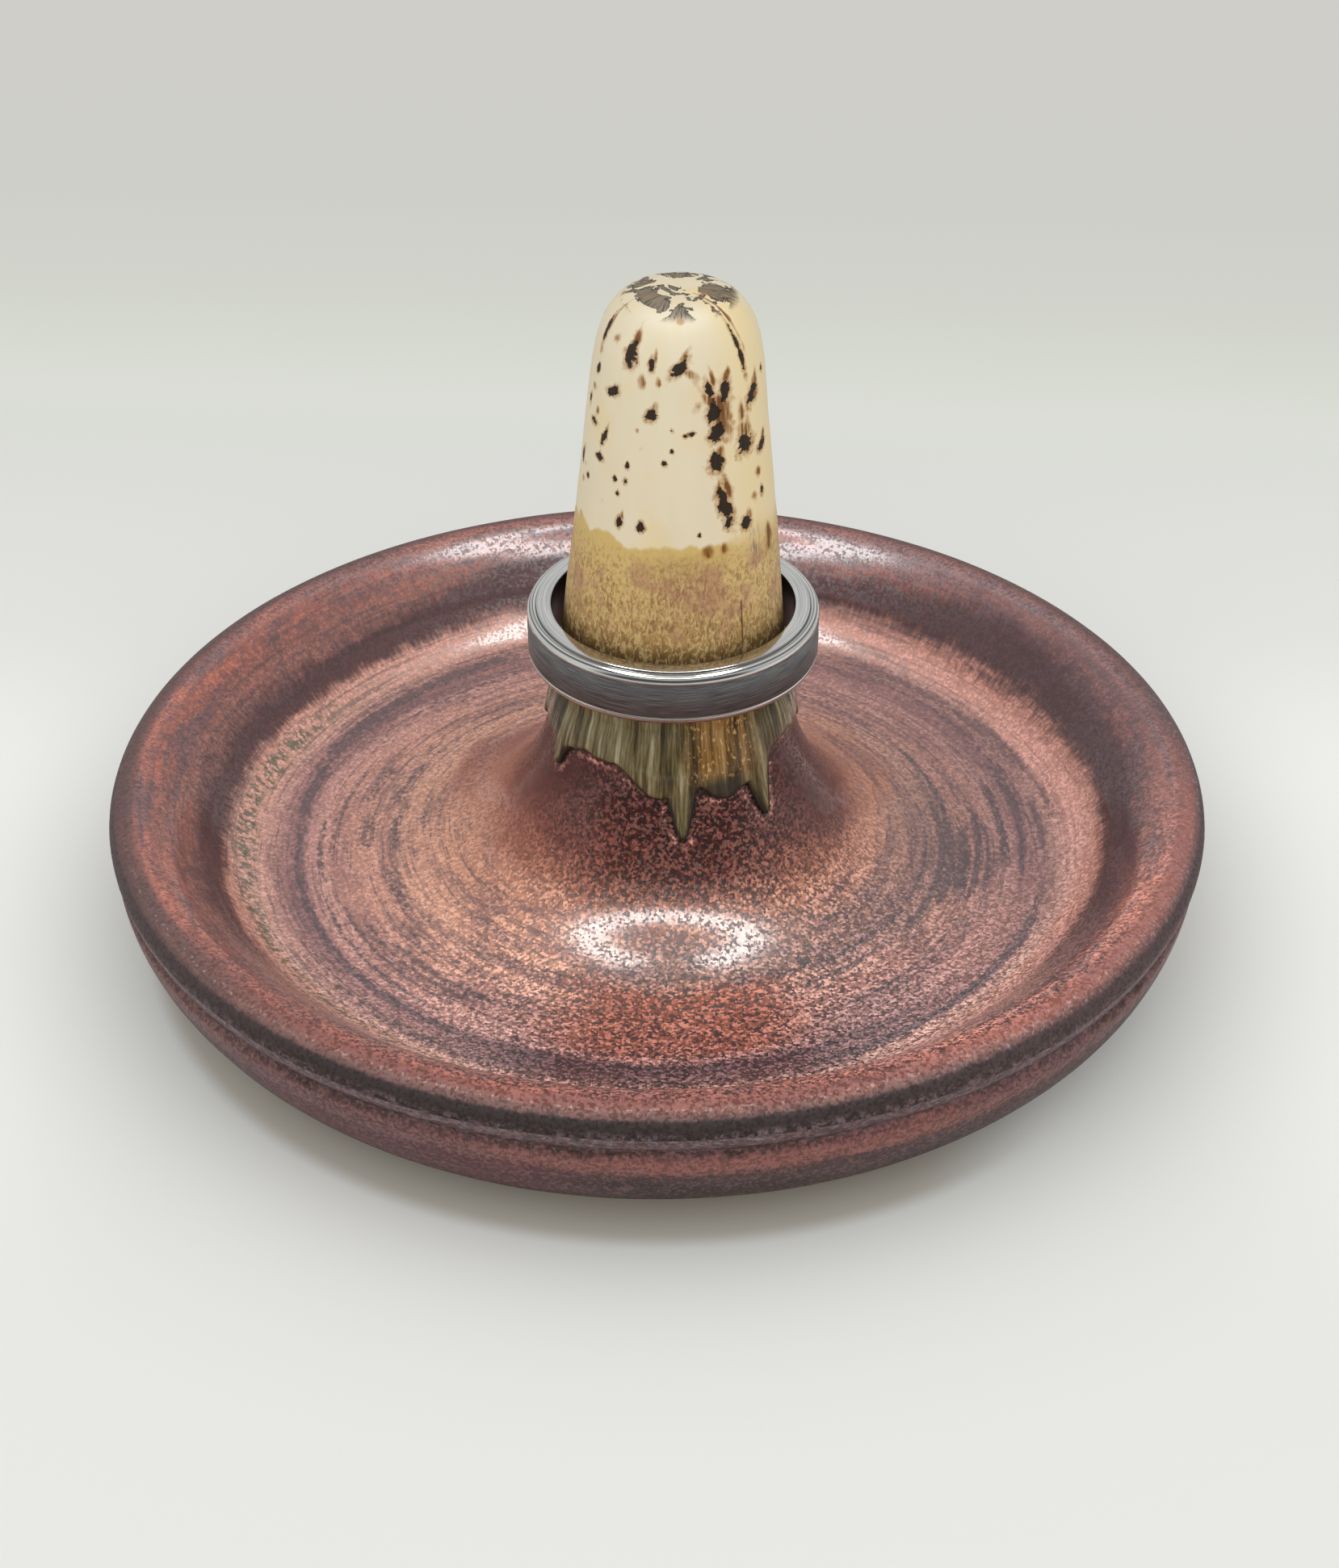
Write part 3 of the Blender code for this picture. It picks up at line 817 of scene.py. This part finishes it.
def outside_glaze():
    """The dish's outside: pink over plum in bands by height, with painted shade making it dark
    where it rounds under.
    """
    glaze = wheel_look("red_glaze_outside", "Height")
    height, rise, streaks, lay = glaze.across, glaze.rise, glaze.streaks, glaze.lay
    banded = glaze.plus(height, glaze.centred(streaks(2.2, 0.3, 3), 1.6),
                        glaze.centred(streaks(70, 1.4, 3, 12), 1.5))
    # The dark low stops are painted shade where the wall rounds under
    glaze.colour = glaze.ramp(banded, 0, 14, [
        (0, 30, 24, 20), (4.2, 42, 33, 29), (7.2, 60, 48, 44), (8.4, 88, 64, 61),
        (9, 118, 86, 84), (10.2, 112, 80, 77), (10.8, 52, 38, 35), (11.5, 98, 72, 70),
        (12.3, 100, 82, 82), (12.8, 52, 37, 34),
    ])
    glaze.lay_bands(banded, (
        (0.75, (146, 90, 81), (-80, 24, 14), (8.5, 10.4, 0.5)),
        (0.75, (100, 58, 61), (-116, 17, 6), (4.6, 8.6, 0.7)),
    ))
    flecks = rise(streaks(60, 3.2, 4, 33), 0.48, 0.6)
    lay(0.45, (140, 134, 142), flecks, glaze.zone(height, 10.8, 12.8, 0.5))
    lay(0.35, (104, 78, 86), rise(streaks(4, 0.6, 4, 21), 0.47, 0.62))
    lay(0.35, (70, 54, 54), rise(streaks(5, 2.6, 4, 5), 0.5, 0.62))
    grain = glaze.grain(0.22)
    lay(0.45, (58, 38, 38), rise(grain, 0.45, 0.7))
    lay(0.25, (156, 112, 108), rise(grain, 0.4, 0.2))
    return glaze.finish(glaze.plus(glaze.product(grain, 0.1), 0.45), (grain, 0.3, 0.03),
                        Specular_IOR_Level=0.2)


def bare_clay():
    """The unglazed stoneware of the foot."""
    clay = Look("bare_clay")
    grain = clay.grain(0.5)
    clay.colour = clay.mix(grain, tone(176, 150, 122), tone(150, 122, 96))
    return clay.finish(0.85, (grain, 0.4, 0.05))


# Specks on the post: turn and height of the middle, half width in degrees, half height in mm and
# lean in degrees per mm
SPECKS = (
    (-160, 54.4, 2.4, 1.1, -1), (-126, 54, 4.6, 0.9, 0), (-109.5, 53.4, 2.2, 0.5, 0),
    (-157.5, 51.6, 2, 0.4, 2), (-137, 50.6, 5, 0.45, 5), (-108, 49.5, 3.6, 0.5, 2),
    (-90, 53.3, 5, 0.6, 6), (-70, 51.7, 3, 0.7, -2), (-67, 49.6, 4.6, 0.75, 0),
    (-65, 48, 4.6, 0.75, 2), (-66, 45.5, 4.6, 0.7, 1), (-59, 51.3, 4, 0.9, 2),
    (-44, 46.4, 6.2, 0.9, 1), (-34.4, 50, 5.2, 0.75, 3), (-61, 41.6, 4.2, 1.5, -2),
    (-46, 39.7, 3.6, 0.6, 0), (-27, 45.4, 4.4, 0.5, 4), (-30, 41.6, 2.2, 0.4, 0),
    (-142, 46.6, 2.2, 0.6, 2), (-144.4, 44.8, 3.4, 0.3, 0), (-155, 47.3, 3.4, 0.35, -2),
    (-156, 42.5, 2, 0.25, 0), (-130, 43.6, 1.6, 0.22, 0), (-122.4, 43.7, 1.7, 0.24, 0),
    (-127.6, 42.5, 1.6, 0.24, 0), (-121.4, 45, 1.5, 0.28, 0), (-125, 40.1, 2, 0.5, 0),
    (-111, 40.2, 2.6, 0.4, 0), (-98.4, 45.7, 1.6, 0.26, 0), (-93.6, 46.7, 1.4, 0.18, 0),
    (-94, 48.4, 1.3, 0.2, 0), (-86, 47.9, 1.8, 0.18, 0), (-82, 48.1, 2.4, 0.22, 3),
    (-77, 39.6, 1.2, 0.2, 0), (-165, 48.7, 2, 0.5, 0), (-168, 43.6, 2.4, 0.5, 0),
    (-44, 54.3, 2.2, 1.9, -1.5), (-20, 51.5, 2.6, 0.3, 3),
    (20, 50.5, 4, 0.8, 1), (48, 53.2, 4.4, 0.7, -2), (66, 46.2, 4.8, 1, 1),
    (84, 50.3, 2.2, 0.4, 0), (97, 43.4, 4, 0.8, 2), (118, 52.4, 5, 0.8, -3),
    (131, 47.2, 3.2, 0.5, 0), (148, 41.4, 3.6, 0.9, 1), (155, 50, 2, 0.4, 2),
    (36, 42.3, 2.8, 0.6, 0), (4, 46.7, 2, 0.4, 0),
)
# Amber specks with no dark middle
AMBER_SPECKS = (
    (-143, 54.6, 4, 0.4, 3), (-115, 52.2, 2.6, 0.6, 0), (-78, 50.2, 3.4, 0.6, 2),
    (-104, 52.2, 2, 0.4, 0), (-113, 46.7, 1.2, 0.2, 0), (-116.4, 48.1, 1, 0.2, 0),
    (-82, 52.8, 5, 0.4, -8), (-38, 41.6, 3, 0.4, 0), (-33, 43.4, 3, 0.5, 0),
    (-65, 43.3, 3, 0.8, 2), (-60, 50.2, 5.5, 1.6, 0), (-56, 49, 3, 0.6, 0),
    (-46, 49, 2.4, 1.2, 0), (-160, 49.9, 4, 0.4, 0), (-152, 48.2, 2.4, 0.4, 0),
    (-72, 38.2, 3, 0.7, 0), (-62, 38, 2.4, 0.5, 0), (-26, 37.2, 4.2, 1.4, 0),
    (-71, 50.7, 4, 1, -6), (-62, 49, 5, 2, -3), (-47, 47.8, 3, 2, 0),
    (60, 49.3, 5, 1.4, 0), (108, 46.5, 4.2, 0.7, 2), (170, 52.8, 4, 0.6, 0),
)


def fill_olive(mixing, given):
    """Olive, brown and pale green drawn down the post's foot, with the ring's painted shadow as a
    dark patch low on the front right.
    """
    height = given["Height"]
    mixing.stand(given["East"], given["North"], height)
    side, rise, streaks = mixing.side, mixing.rise, mixing.streaks
    blend = mixing.plus(mixing.product(streaks(13, 0.07, 4), 0.5),
                        mixing.product(streaks(44, 0.3, 5, breakup=0.65), 0.5))
    olive = mixing.ramp(blend, 0.30, 0.70, [
        (0.34, 36, 30, 20), (0.44, 70, 60, 38), (0.50, 100, 88, 56), (0.56, 126, 116, 82),
        (0.64, 166, 160, 130),
    ])
    mixing.colour = mixing.ramp(blend, 0.30, 0.70, [
        (0.36, 40, 28, 16), (0.46, 92, 66, 34), (0.55, 140, 104, 54), (0.64, 176, 140, 86),
    ])
    mixing.lay(0.75, (214, 176, 104), rise(streaks(40, 2.2, 3), 0.58, 0.66))
    brown = mixing.product(side(-66, 16, 8), rise(height, 17, 19.5))
    mixing.colour = mixing.mix(brown, olive, mixing.colour)
    # The ring's painted shadow: a dark patch low on the front right
    mixing.lay(0.85, (40, 42, 36), side(-68, 9, 4), rise(height, 18.9, 17.6))
    return {"Color": mixing.colour, "Mask": blend}


OLIVE = make_group("Olive streaks", fill_olive, ("Color", "Mask"), East=0, North=0, Height=0)


def post_look(name):
    """A look laid out on the leaning post, and the olive of its foot."""
    look = wheel_look(name, "Height", Lean=POST_LEAN, Hold=1)
    foot = look.group(OLIVE, East=look.east, North=look.north, Height=look.across)
    return look, foot


def cream_glaze():
    """The post: cream with specks above, amber below, olive at its foot."""
    glaze, foot = post_look("cream_glaze")
    height, place, noise_at = glaze.across, glaze.place, glaze.noise
    rise, zone, side, streaks = glaze.rise, glaze.zone, glaze.side, glaze.streaks
    plus, product, lay = glaze.plus, glaze.product, glaze.lay

    glaze.colour = glaze.mix(streaks(3, 0.12, 3), tone(232, 222, 196), tone(226, 211, 176))
    lay(0.4, (232, 206, 148), rise(streaks(2, 0.2, 3, 50), 0.5, 0.7))
    lay(0.6, (238, 214, 158), side(-30, 26, 18))
    cream = glaze.colour

    # Amber under a wandering border, with pale and brown squiggles
    rag = noise_at(place, 1100, 4, 0.62, 0.4)
    glaze.colour = glaze.ramp(plus(height, glaze.centred(rag, 3)), 20, 40, [
        (20, 84, 66, 38), (26.5, 82, 62, 33), (29, 116, 88, 46), (30.5, 166, 132, 76),
        (33, 200, 166, 104), (36, 208, 176, 110), (38.6, 211, 182, 112),
        (40, 216, 192, 126),
    ])
    glaze.lay_bands(height, (
        (0.5, (222, 192, 132), (-30, 26, 18), (31, 34)),
        (0.5, (160, 122, 84), (-86, 18, 14), (31, 37.4, 1.2)),
    ))
    squiggle = glaze.wound(26, 1.3, 4, 0.6, 1.2)
    low = rise(height, 38.5, 34.5)
    lay(0.55, (214, 186, 134), rise(squiggle, 0.5, 0.58), low)
    lay(0.6, (108, 76, 50), rise(squiggle, 0.48, 0.38), low)
    fine = rise(noise_at(place, 2600, 3, 0.65), 0.5, 0.38)
    lay(0.45, (136, 100, 58), fine, rise(height, 39.5, 36))
    pink = rise(streaks(3.4, 0.35, 3, 33), 0.5, 0.62)
    lay(0.45, (164, 112, 96), pink, zone(height, 30.5, 37, 1))
    border = plus(product(streaks(2.6, 0.05, 4, 80), 3.4), 36.9)
    over = glaze.minus(height, border)
    soft = plus(0.2, product(side(-32, 20, 14), 1.6))
    glaze.colour = glaze.mix(
        rise(glaze.maths("DIVIDE", over, soft), -1, 1), glaze.colour, cream)

    # A crack and a violet smudge, then the olive foot
    lay(0.9, (66, 34, 24), side(-52, 0.5, 0.5), zone(height, 29, 33.2, 0.3))
    lay(0.75, (112, 92, 104), side(-40, 3.5, 2.5), zone(height, 36.2, 38.8, 0.8),
        rise(streaks(30, 0.6, 3), 0.4, 0.6))
    glaze.colour = glaze.mix(rise(height, 28.6, 25), glaze.colour, foot["Color"])

    # The crazed brown patch on the tip
    tip_field = noise_at(place, 460, 4, 0.6, 0.6)
    tip_area = rise(height, 56.2, 56.7)
    tip = product(tip_area, rise(tip_field, 0.51, 0.55))
    crazing = product(tip, rise(streaks(26, 2.6, 3, 8), 0.5, 0.58), 0.75)
    outline = glaze.larger(product(tip_area, zone(tip_field, 0.505, 0.54, 0.012)), crazing)
    lay(0.85, (104, 82, 56), tip)

    # Specks with ragged outlines, in amber halos that drip
    near = plus(glaze.kept("dark_specks"), glaze.centred(rag, 2.7),
                glaze.centred(noise_at(place, 3200, 2, 0.6), 0.7))
    amber_near = plus(glaze.kept("amber_specks"), glaze.centred(noise_at(place, 900), 2.4))
    drips = rise(streaks(24, 0.25, 3, 15), 0.3, 0.6)
    halo = glaze.larger(product(rise(near, 1.9, 1), 0.8), rise(amber_near, 1.5, 0.4))
    lay(1, (168, 112, 36), halo, plus(0.55, product(drips, 0.4)))
    lay(0.8, (92, 52, 18), rise(amber_near, 0.9, 0.3), drips)
    dark = glaze.larger(rise(near, 1.06, 0.9), outline)
    lay(0.97, (32, 18, 9), dark)

    # Small specks between the placed ones
    chance, far = glaze.cells(place, 520)
    lay(0.7, (176, 122, 54), rise(far, 0.22, 0.10), rise(chance, 0.76, 0.79), rise(over, -1.5, 0.5))

    relief = glaze.minus(product(squiggle, 0.4), product(dark, 0.8))
    return glaze.finish(plus(product(dark, 0.15), 0.5), (relief, 0.4, 0.04),
                        Specular_IOR_Level=0.25)


def olive_glaze():
    """The runs: olive streaks with a dark outline where the glaze pools at its edge. It is matt
    where it leaves the post."""
    glaze, foot = post_look("olive_glaze")
    glaze.colour = foot["Color"]
    rag = glaze.product(glaze.noise(glaze.place, 1500), 0.3)
    edge = glaze.plus(glaze.kept("edge_distance"), rag)
    glaze.lay(0.92, (34, 31, 24), glaze.rise(edge, 0.66, 0.34))
    wet = glaze.rise(glaze.across, GLAZE_TOP_HEIGHT, GLAZE_TOP_HEIGHT - 2.2)
    glaze.feed(glaze.shader.inputs["Coat Weight"], glaze.product(wet, 0.4))
    return glaze.finish(glaze.minus(0.5, glaze.product(wet, 0.3)), (foot["Mask"], 0.4, 0.08),
                        Specular_IOR_Level=0.25, Coat_Roughness=0.08)


def ring_look(name, by_radius):
    """A look laid out round the ring's own axis, by radius or by height, and the radius."""
    look = Look(name)
    x, y, z = look.in_mm(look.place)
    radius, east, north = look.bearings(x, y)
    look.stand(east, north, radius if by_radius else z)
    return look, radius


def polished_metal():
    """The polished edges, with fine lines of the turning tool, three dark lines round the groove
    and shoulder that are painted reflections of the dark room in front, and the dark bore.
    """
    metal, radius = ring_look("polished_metal", True)
    lines = metal.wound(1.5, 9, 3)
    metal.colour = metal.mix(
        metal.rise(lines, 0.42, 0.6), tone(188, 189, 188), tone(216, 216, 212))
    # Painted reflections: three dark lines round the groove and shoulder
    for at, half_width in ((11.42, 0.05), (11.68, 0.03), (11.93, 0.045)):
        metal.lay(0.85, (58, 59, 60), metal.zone(radius, at - half_width, at + half_width, 0.02))
    bore = metal.rise(radius, RING_BORE_RADIUS + 0.12, RING_BORE_RADIUS + 0.05)
    metal.lay(1, (50, 52, 53), bore)
    return metal.finish(metal.plus(metal.product(bore, 0.25), 0.1), Metallic=1)


def brushed_metal():
    """The band's middle, with fine lines from the brush that run round it."""
    metal = ring_look("brushed_metal", False)[0]
    fine = metal.streaks(5, 22, 4, breakup=0.6)
    metal.colour = metal.mix(metal.rise(fine, 0.38, 0.62), tone(84, 86, 87), tone(136, 138, 139))
    return metal.finish(metal.plus(metal.product(fine, 0.2), 0.4), (fine, 0.3, 0.02), Metallic=1)


# The pieces

def put_materials(obj, materials, choose=None):
    for material in materials:
        obj.data.materials.append(material)
    if choose:
        for face in obj.data.polygons:
            face.material_index = choose(face.center / MM)


STROKE_TAPER = 0.15
SPECK_TAPER = 0.4


def drawn_strokes(turn, radius, table):
    """How dark the wheel's strokes are at points of the dish. A stroke thins out at its ends."""
    dark = np.zeros(turn.shape)
    for start, first, end, last, half_width, depth in table:
        share = (turn - start) % 360 / (end - start)
        away = (radius - first - (last - first) * share) / half_width
        ends = np.clip(np.minimum(share, 1 - share) / STROKE_TAPER, 0, 1)
        dark = np.maximum(dark, depth * ends * np.exp(-away * away))
    return dark


def nearest_speck(turn, height, table):
    """How far points of the post are from the nearest speck, in the speck's own sizes. A speck is
    narrower at its top."""
    nearest = np.full(turn.shape, FAR)
    for speck_turn, speck_height, half_width, half_height, lean in table:
        up = height - speck_height
        x = ((turn - speck_turn - up * lean + 180) % 360 - 180) / half_width
        y = up / half_height
        x = x * (1 + SPECK_TAPER * np.maximum(y, 0))
        nearest = np.minimum(nearest, np.hypot(x, y))
    return nearest


# The dish's glaze by place: red inside, banded outside, bare clay under the foot
INSIDE, OUTSIDE, BARE = range(3)
BARE_HEIGHT = 3.0
UNDER_LIP_RADIUS = 44.5
UNDER_WALL_RADIUS = 36.0
WALL_DEPTH = 1.2
UNDER_FLOOR_HEIGHT = 5.0


def dish_material(centre):
    radius = math.hypot(centre.x, centre.y)
    low = centre.z < BARE_HEIGHT
    if centre.z < WALL_FOOT_HEIGHT + 0.3 or (low and radius < WALL_FOOT_RADIUS - 1):
        return BARE
    if radius > UNDER_LIP_RADIUS:
        under = centre.z < RIM_HEIGHT - LIP_RADIUS
    else:
        inside = floor_height(min(radius, RIM_RADIUS - LIP_RADIUS)) - WALL_DEPTH
        under = radius > UNDER_WALL_RADIUS and centre.z < max(inside, UNDER_FLOOR_HEIGHT)
    return OUTSIDE if under else BARE if low else INSIDE


def points_of(obj):
    return np.array([v.co for v in obj.data.vertices]) / MM


def turns_round_post(places):
    middles = np.array([post_axis(z) for z in places[:, 2]])
    return np.arctan2(places[:, 1] - middles[:, 1], places[:, 0] - middles[:, 0])


edge_turns = np.arange(EDGE_STEPS) * math.tau / EDGE_STEPS
edge_heights = np.array([glaze_edge_height(i / EDGE_STEPS) for i in range(EDGE_STEPS)])

dish = turned("dish_glazed", dish_section(), steps=256, closed=True, relief=dish_relief)
put_materials(dish, [red_glaze(), outside_glaze(), bare_clay()], dish_material)
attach(dish, "pot")
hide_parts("dish")

places = points_of(dish)
inner, outer = WHEEL_RADII
follow = eased(np.clip((outer - np.hypot(*places.T[:2])) / (outer - inner), 0, 1))
x, y = places[:, 0] - follow * THROW_CENTRE[0], places[:, 1] - follow * THROW_CENTRE[1]
keep(dish, "strokes", drawn_strokes(np.degrees(np.arctan2(y, x)), np.hypot(x, y), STROKES))

# How far the dish's points by the foot of the post are from the runny glaze's edge
edge_radii = np.array([flank_radius(z) for z in edge_heights])
edge_line = np.stack([
    edge_radii * np.cos(edge_turns) + THROW_CENTRE[0],
    edge_radii * np.sin(edge_turns) + THROW_CENTRE[1], edge_heights], -1)
gap = np.full(len(places), FAR)
near_foot = np.flatnonzero((np.hypot(x, y) < 18) & (places[:, 2] > 9) & (places[:, 2] < 20))
for part in np.array_split(near_foot, len(near_foot) // 2000 + 1):
    gap[part] = np.linalg.norm(places[part, None] - edge_line[None], axis=2).min(1)
keep(dish, "glaze_gap", gap)

post = turned("post_glazed", post_section(), steps=240, closed=False, relief=post_relief)
put_materials(post, [cream_glaze()])
places = points_of(post)
turns = np.degrees(turns_round_post(places))
keep(post, "dark_specks", nearest_speck(turns, places[:, 2], SPECKS))
# Amber that has run down from above each larger dark speck
smears = tuple((turn + 2, height + 1.1 * half, width * 0.7, half * 1.1, lean)
               for turn, height, width, half, lean in SPECKS if half > 0.45)
keep(post, "amber_specks", nearest_speck(turns, places[:, 2], AMBER_SPECKS + smears))
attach(post, "pot")
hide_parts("post")

runs = make_glaze_runs(edge_turns, edge_heights)
put_materials(runs, [olive_glaze()])
places = points_of(runs)
turns = turns_round_post(places)
gaps = (edge_turns[None] - turns[:, None] + math.pi) % math.tau - math.pi
reach = np.array([flank_radius(z) for z in places[:, 2]])
keep(runs, "edge_distance", np.hypot(
    gaps * reach[:, None], edge_heights[None] - places[:, 2:]).min(1))
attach(runs, "pot")
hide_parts("glaze_runs")

ring = turned("ring_band", ring_section(), steps=192, closed=True)
x, y = post_axis(RING_BOTTOM_HEIGHT + RING_WIDTH / 2)
ring.location = Vector((x, y, RING_BOTTOM_HEIGHT + RING_WIDTH / 2)) * MM
brushed_half = RING_WIDTH / 2 - RING_STEP_DROP - 0.06
put_materials(ring, [polished_metal(), brushed_metal()], lambda c: int(
    abs(c.z) < brushed_half and math.hypot(c.x, c.y) > RING_OUTER_RADIUS - 0.3))
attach(ring, "band")
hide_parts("ring")


# The stage: a pale floor, a backdrop that only the camera sees, and a ring lamp

FLOOR_REACH = 1200.0
BACKDROP_REACH = 900.0
BACKDROP_DISTANCE = 107.0
BACKDROP_TURN = -4.3
BACKDROP_HEIGHT = 260.0
COVE_RADIUS = 14.0
COVE_LIFT = 0.03


def hide_from(obj, *rays):
    for kind in rays:
        setattr(obj, "visible_" + kind, False)


def make_floor():
    count = 9
    places = spread(-FLOOR_REACH, FLOOR_REACH, count)
    points = [(x, y, 0) for y in places for x in places]
    faces = [(i * count + j, i * count + j + 1, (i + 1) * count + j + 1, (i + 1) * count + j)
             for i in range(count - 1) for j in range(count - 1)]
    return make_piece("floor", points, faces, closed=False)


def make_backdrop():
    """A sheet that leaves the floor through a tight cove and stands upright."""
    start = BACKDROP_DISTANCE - COVE_RADIUS
    section = [(start - COVE_RADIUS, COVE_LIFT), (start, COVE_LIFT)]
    section += arc((start, COVE_LIFT + COVE_RADIUS), COVE_RADIUS, -90, 0, 12)[1:]
    section += [(BACKDROP_DISTANCE, BACKDROP_HEIGHT)]
    turn = math.radians(BACKDROP_TURN)
    points = [(x * math.cos(turn) - y * math.sin(turn), x * math.sin(turn) + y * math.cos(turn), z)
              for y, z in section for x in (-BACKDROP_REACH, BACKDROP_REACH)]
    faces = [(2 * i, 2 * i + 1, 2 * i + 3, 2 * i + 2) for i in range(len(section) - 1)]
    backdrop = make_piece("backdrop", points, faces, closed=False)
    hide_from(backdrop, "diffuse", "glossy", "transmission", "shadow")
    return backdrop


def floor_material():
    """Pale grey, with painted light and shade: darker towards the back, paler to the sides of the
    pot, and a painted contact shadow, a little warmer and darker, under the rim on the left and at
    the front.
    """
    look = Look("pale_floor")
    x, y = look.in_mm(look.place)[:2]
    # Painted shade: the floor darkens towards the back
    look.colour = look.ramp(y, -60, 100, [
        (-60, 241, 242, 238), (0, 241, 242, 238), (45, 236, 237, 232), (78, 229, 230, 225),
        (100, 224, 226, 220),
    ])
    # Painted light: paler to the sides of the pot
    look.lay(1.0, (253, 253, 249), look.rise(look.maths("ABSOLUTE", x), 36, 64),
             look.rise(y, -60, -25), look.rise(y, 50, 15))
    # Painted contact shadow under the rim, on the left and at the front
    look.lay(0.9, (206, 200, 186), look.rise(look.hypot(x, y), 44.8, 42.8), look.rise(x, 32, 18))
    return look.finish(0.9, Specular_IOR_Level=0.1)


def backdrop_material():
    """Pale grey paper, a little darker towards its top, clear where it meets the floor and from
    behind."""
    look = Look("pale_backdrop")
    x, y, z = look.in_mm(look.place)
    colour = look.ramp(z, 0, 60, [
        (0, 222, 224, 216), (3.0, 215, 218, 207), (9, 210, 212, 204), (20, 207, 207, 201),
        (44, 207, 206, 200),
    ])
    turn = math.radians(BACKDROP_TURN)
    along = look.plus(look.product(x, -math.sin(turn)), look.product(y, math.cos(turn)), z)
    behind = look.add("NewGeometry").outputs["Backfacing"]
    shown = look.product(
        look.rise(along, BACKDROP_DISTANCE - 26, BACKDROP_DISTANCE + 4), look.minus(1, behind))
    clear = look.add("BsdfTransparent")
    glow = look.add("Emission", {"Color": colour, "Strength": 1.0})
    return look.show(look.add("MixShader", {0: shown, 1: clear.outputs[0], 2: glow.outputs[0]}))


floor = make_floor()
put_materials(floor, [floor_material()])
backdrop = make_backdrop()
put_materials(backdrop, [backdrop_material()])


LAMP_PLACE = (-2.0, -8.0, 260.0)
LAMP_RADII = (66.0, 106.0)
LAMP_STEPS = 72
LAMP_STRENGTH = 22.0


def make_lamp_ring():
    """A flat ring lamp above the post. Its reflection is the ring of light on the hump."""
    x, y, z = LAMP_PLACE
    turns = [math.tau * i / LAMP_STEPS for i in range(LAMP_STEPS)]
    points = [(x + radius * math.cos(turn), y + radius * math.sin(turn), z)
              for turn in turns for radius in LAMP_RADII]
    ends = [(2 * i, 2 * ((i + 1) % LAMP_STEPS)) for i in range(LAMP_STEPS)]
    faces = [(here, here + 1, there + 1, there) for here, there in ends]
    lamp = make_piece("lamp_ring", points, faces, closed=False)
    hide_from(lamp, "camera", "diffuse", "transmission", "shadow")
    return lamp


def lamp_material():
    look = Look("lamp_glow")
    return look.show(look.add("Emission", {"Strength": LAMP_STRENGTH}))


lamp = make_lamp_ring()
put_materials(lamp, [lamp_material()])

SKY_LEVEL = 0.97
SKY_FRONT = 0.59
HORIZON_SHARE = 0.45
MIRRORED_LEVEL = 0.75
DARK_FRONT = 0.85


def make_tent():
    """Soft light from all round, most of it from the front. Mirrored, the tent is plain, with its
    dark opening low at the front. The camera sees plain pale grey."""
    world = bpy.data.worlds.new("tent")
    bpy.context.scene.world = world
    world.use_nodes = True
    mixing = Recipe(world.node_tree)
    place = mixing.add("TexCoord").outputs["Generated"]
    y, z = mixing.add("SeparateXYZ", {"Vector": place}).outputs[1:]
    level = mixing.minus(SKY_LEVEL, mixing.product(y, SKY_FRONT))
    above = mixing.plus(HORIZON_SHARE, mixing.rise(z, 0.05, 0.5, 1.0 - HORIZON_SHARE))
    level = mixing.product(level, above)
    opening = mixing.product(mixing.rise(y, -0.35, -0.7), mixing.rise(z, 0.75, 0.5), DARK_FRONT)
    mirrored = mixing.product(mixing.minus(1.0, opening), MIRRORED_LEVEL)
    path = mixing.add("LightPath").outputs
    level = mixing.mix(path["Is Glossy Ray"], level, mirrored, kind="FLOAT")
    level = mixing.mix(path["Is Camera Ray"], level, 1.0, kind="FLOAT")
    shader = world.node_tree.nodes["Background"]
    mixing.feed(shader.inputs["Strength"], level)
    mixing.feed(shader.inputs["Color"], mixing.mix(
        path["Is Camera Ray"], tone(255, 255, 255), tone(208, 208, 202)))


make_tent()
bpy.context.scene.view_settings.view_transform = "Standard"


# The camera, worked out from the rim and the ring in the photograph

FOCAL_PIXELS, LONG_SIDE = 3400, 1942
TARGET, DISTANCE, ELEVATION = Vector((0, 0, 0.010)), 0.23721, math.radians(34.592)
ROLL, YAW, PITCH = (math.radians(a) for a in (0.013, 0.251, 0.387))


def swing(first, second, angle):
    """Two directions at right angles, each turned towards or away from the other."""
    return (math.cos(angle) * first + math.sin(angle) * second,
            math.cos(angle) * second - math.sin(angle) * first)


def make_camera():
    data = bpy.data.cameras.new("camera")
    data.sensor_width = 36.0
    data.lens = FOCAL_PIXELS / LONG_SIDE * data.sensor_width
    data.clip_start, data.clip_end = 0.01, 10
    camera = bpy.data.objects.new("camera", data)
    bpy.context.scene.collection.objects.link(camera)
    back = Vector((0, -math.cos(ELEVATION), math.sin(ELEVATION)))
    ahead, right = -back, Vector((1, 0, 0))
    up = right.cross(ahead)
    ahead, right = swing(ahead, right, YAW)
    ahead, up = swing(ahead, up, PITCH)
    right, up = swing(right, up, ROLL)
    turn = Matrix((right, up, -ahead)).transposed().to_4x4()
    camera.matrix_world = Matrix.Translation(TARGET + DISTANCE * back) @ turn
    bpy.context.scene.camera = camera


make_camera()
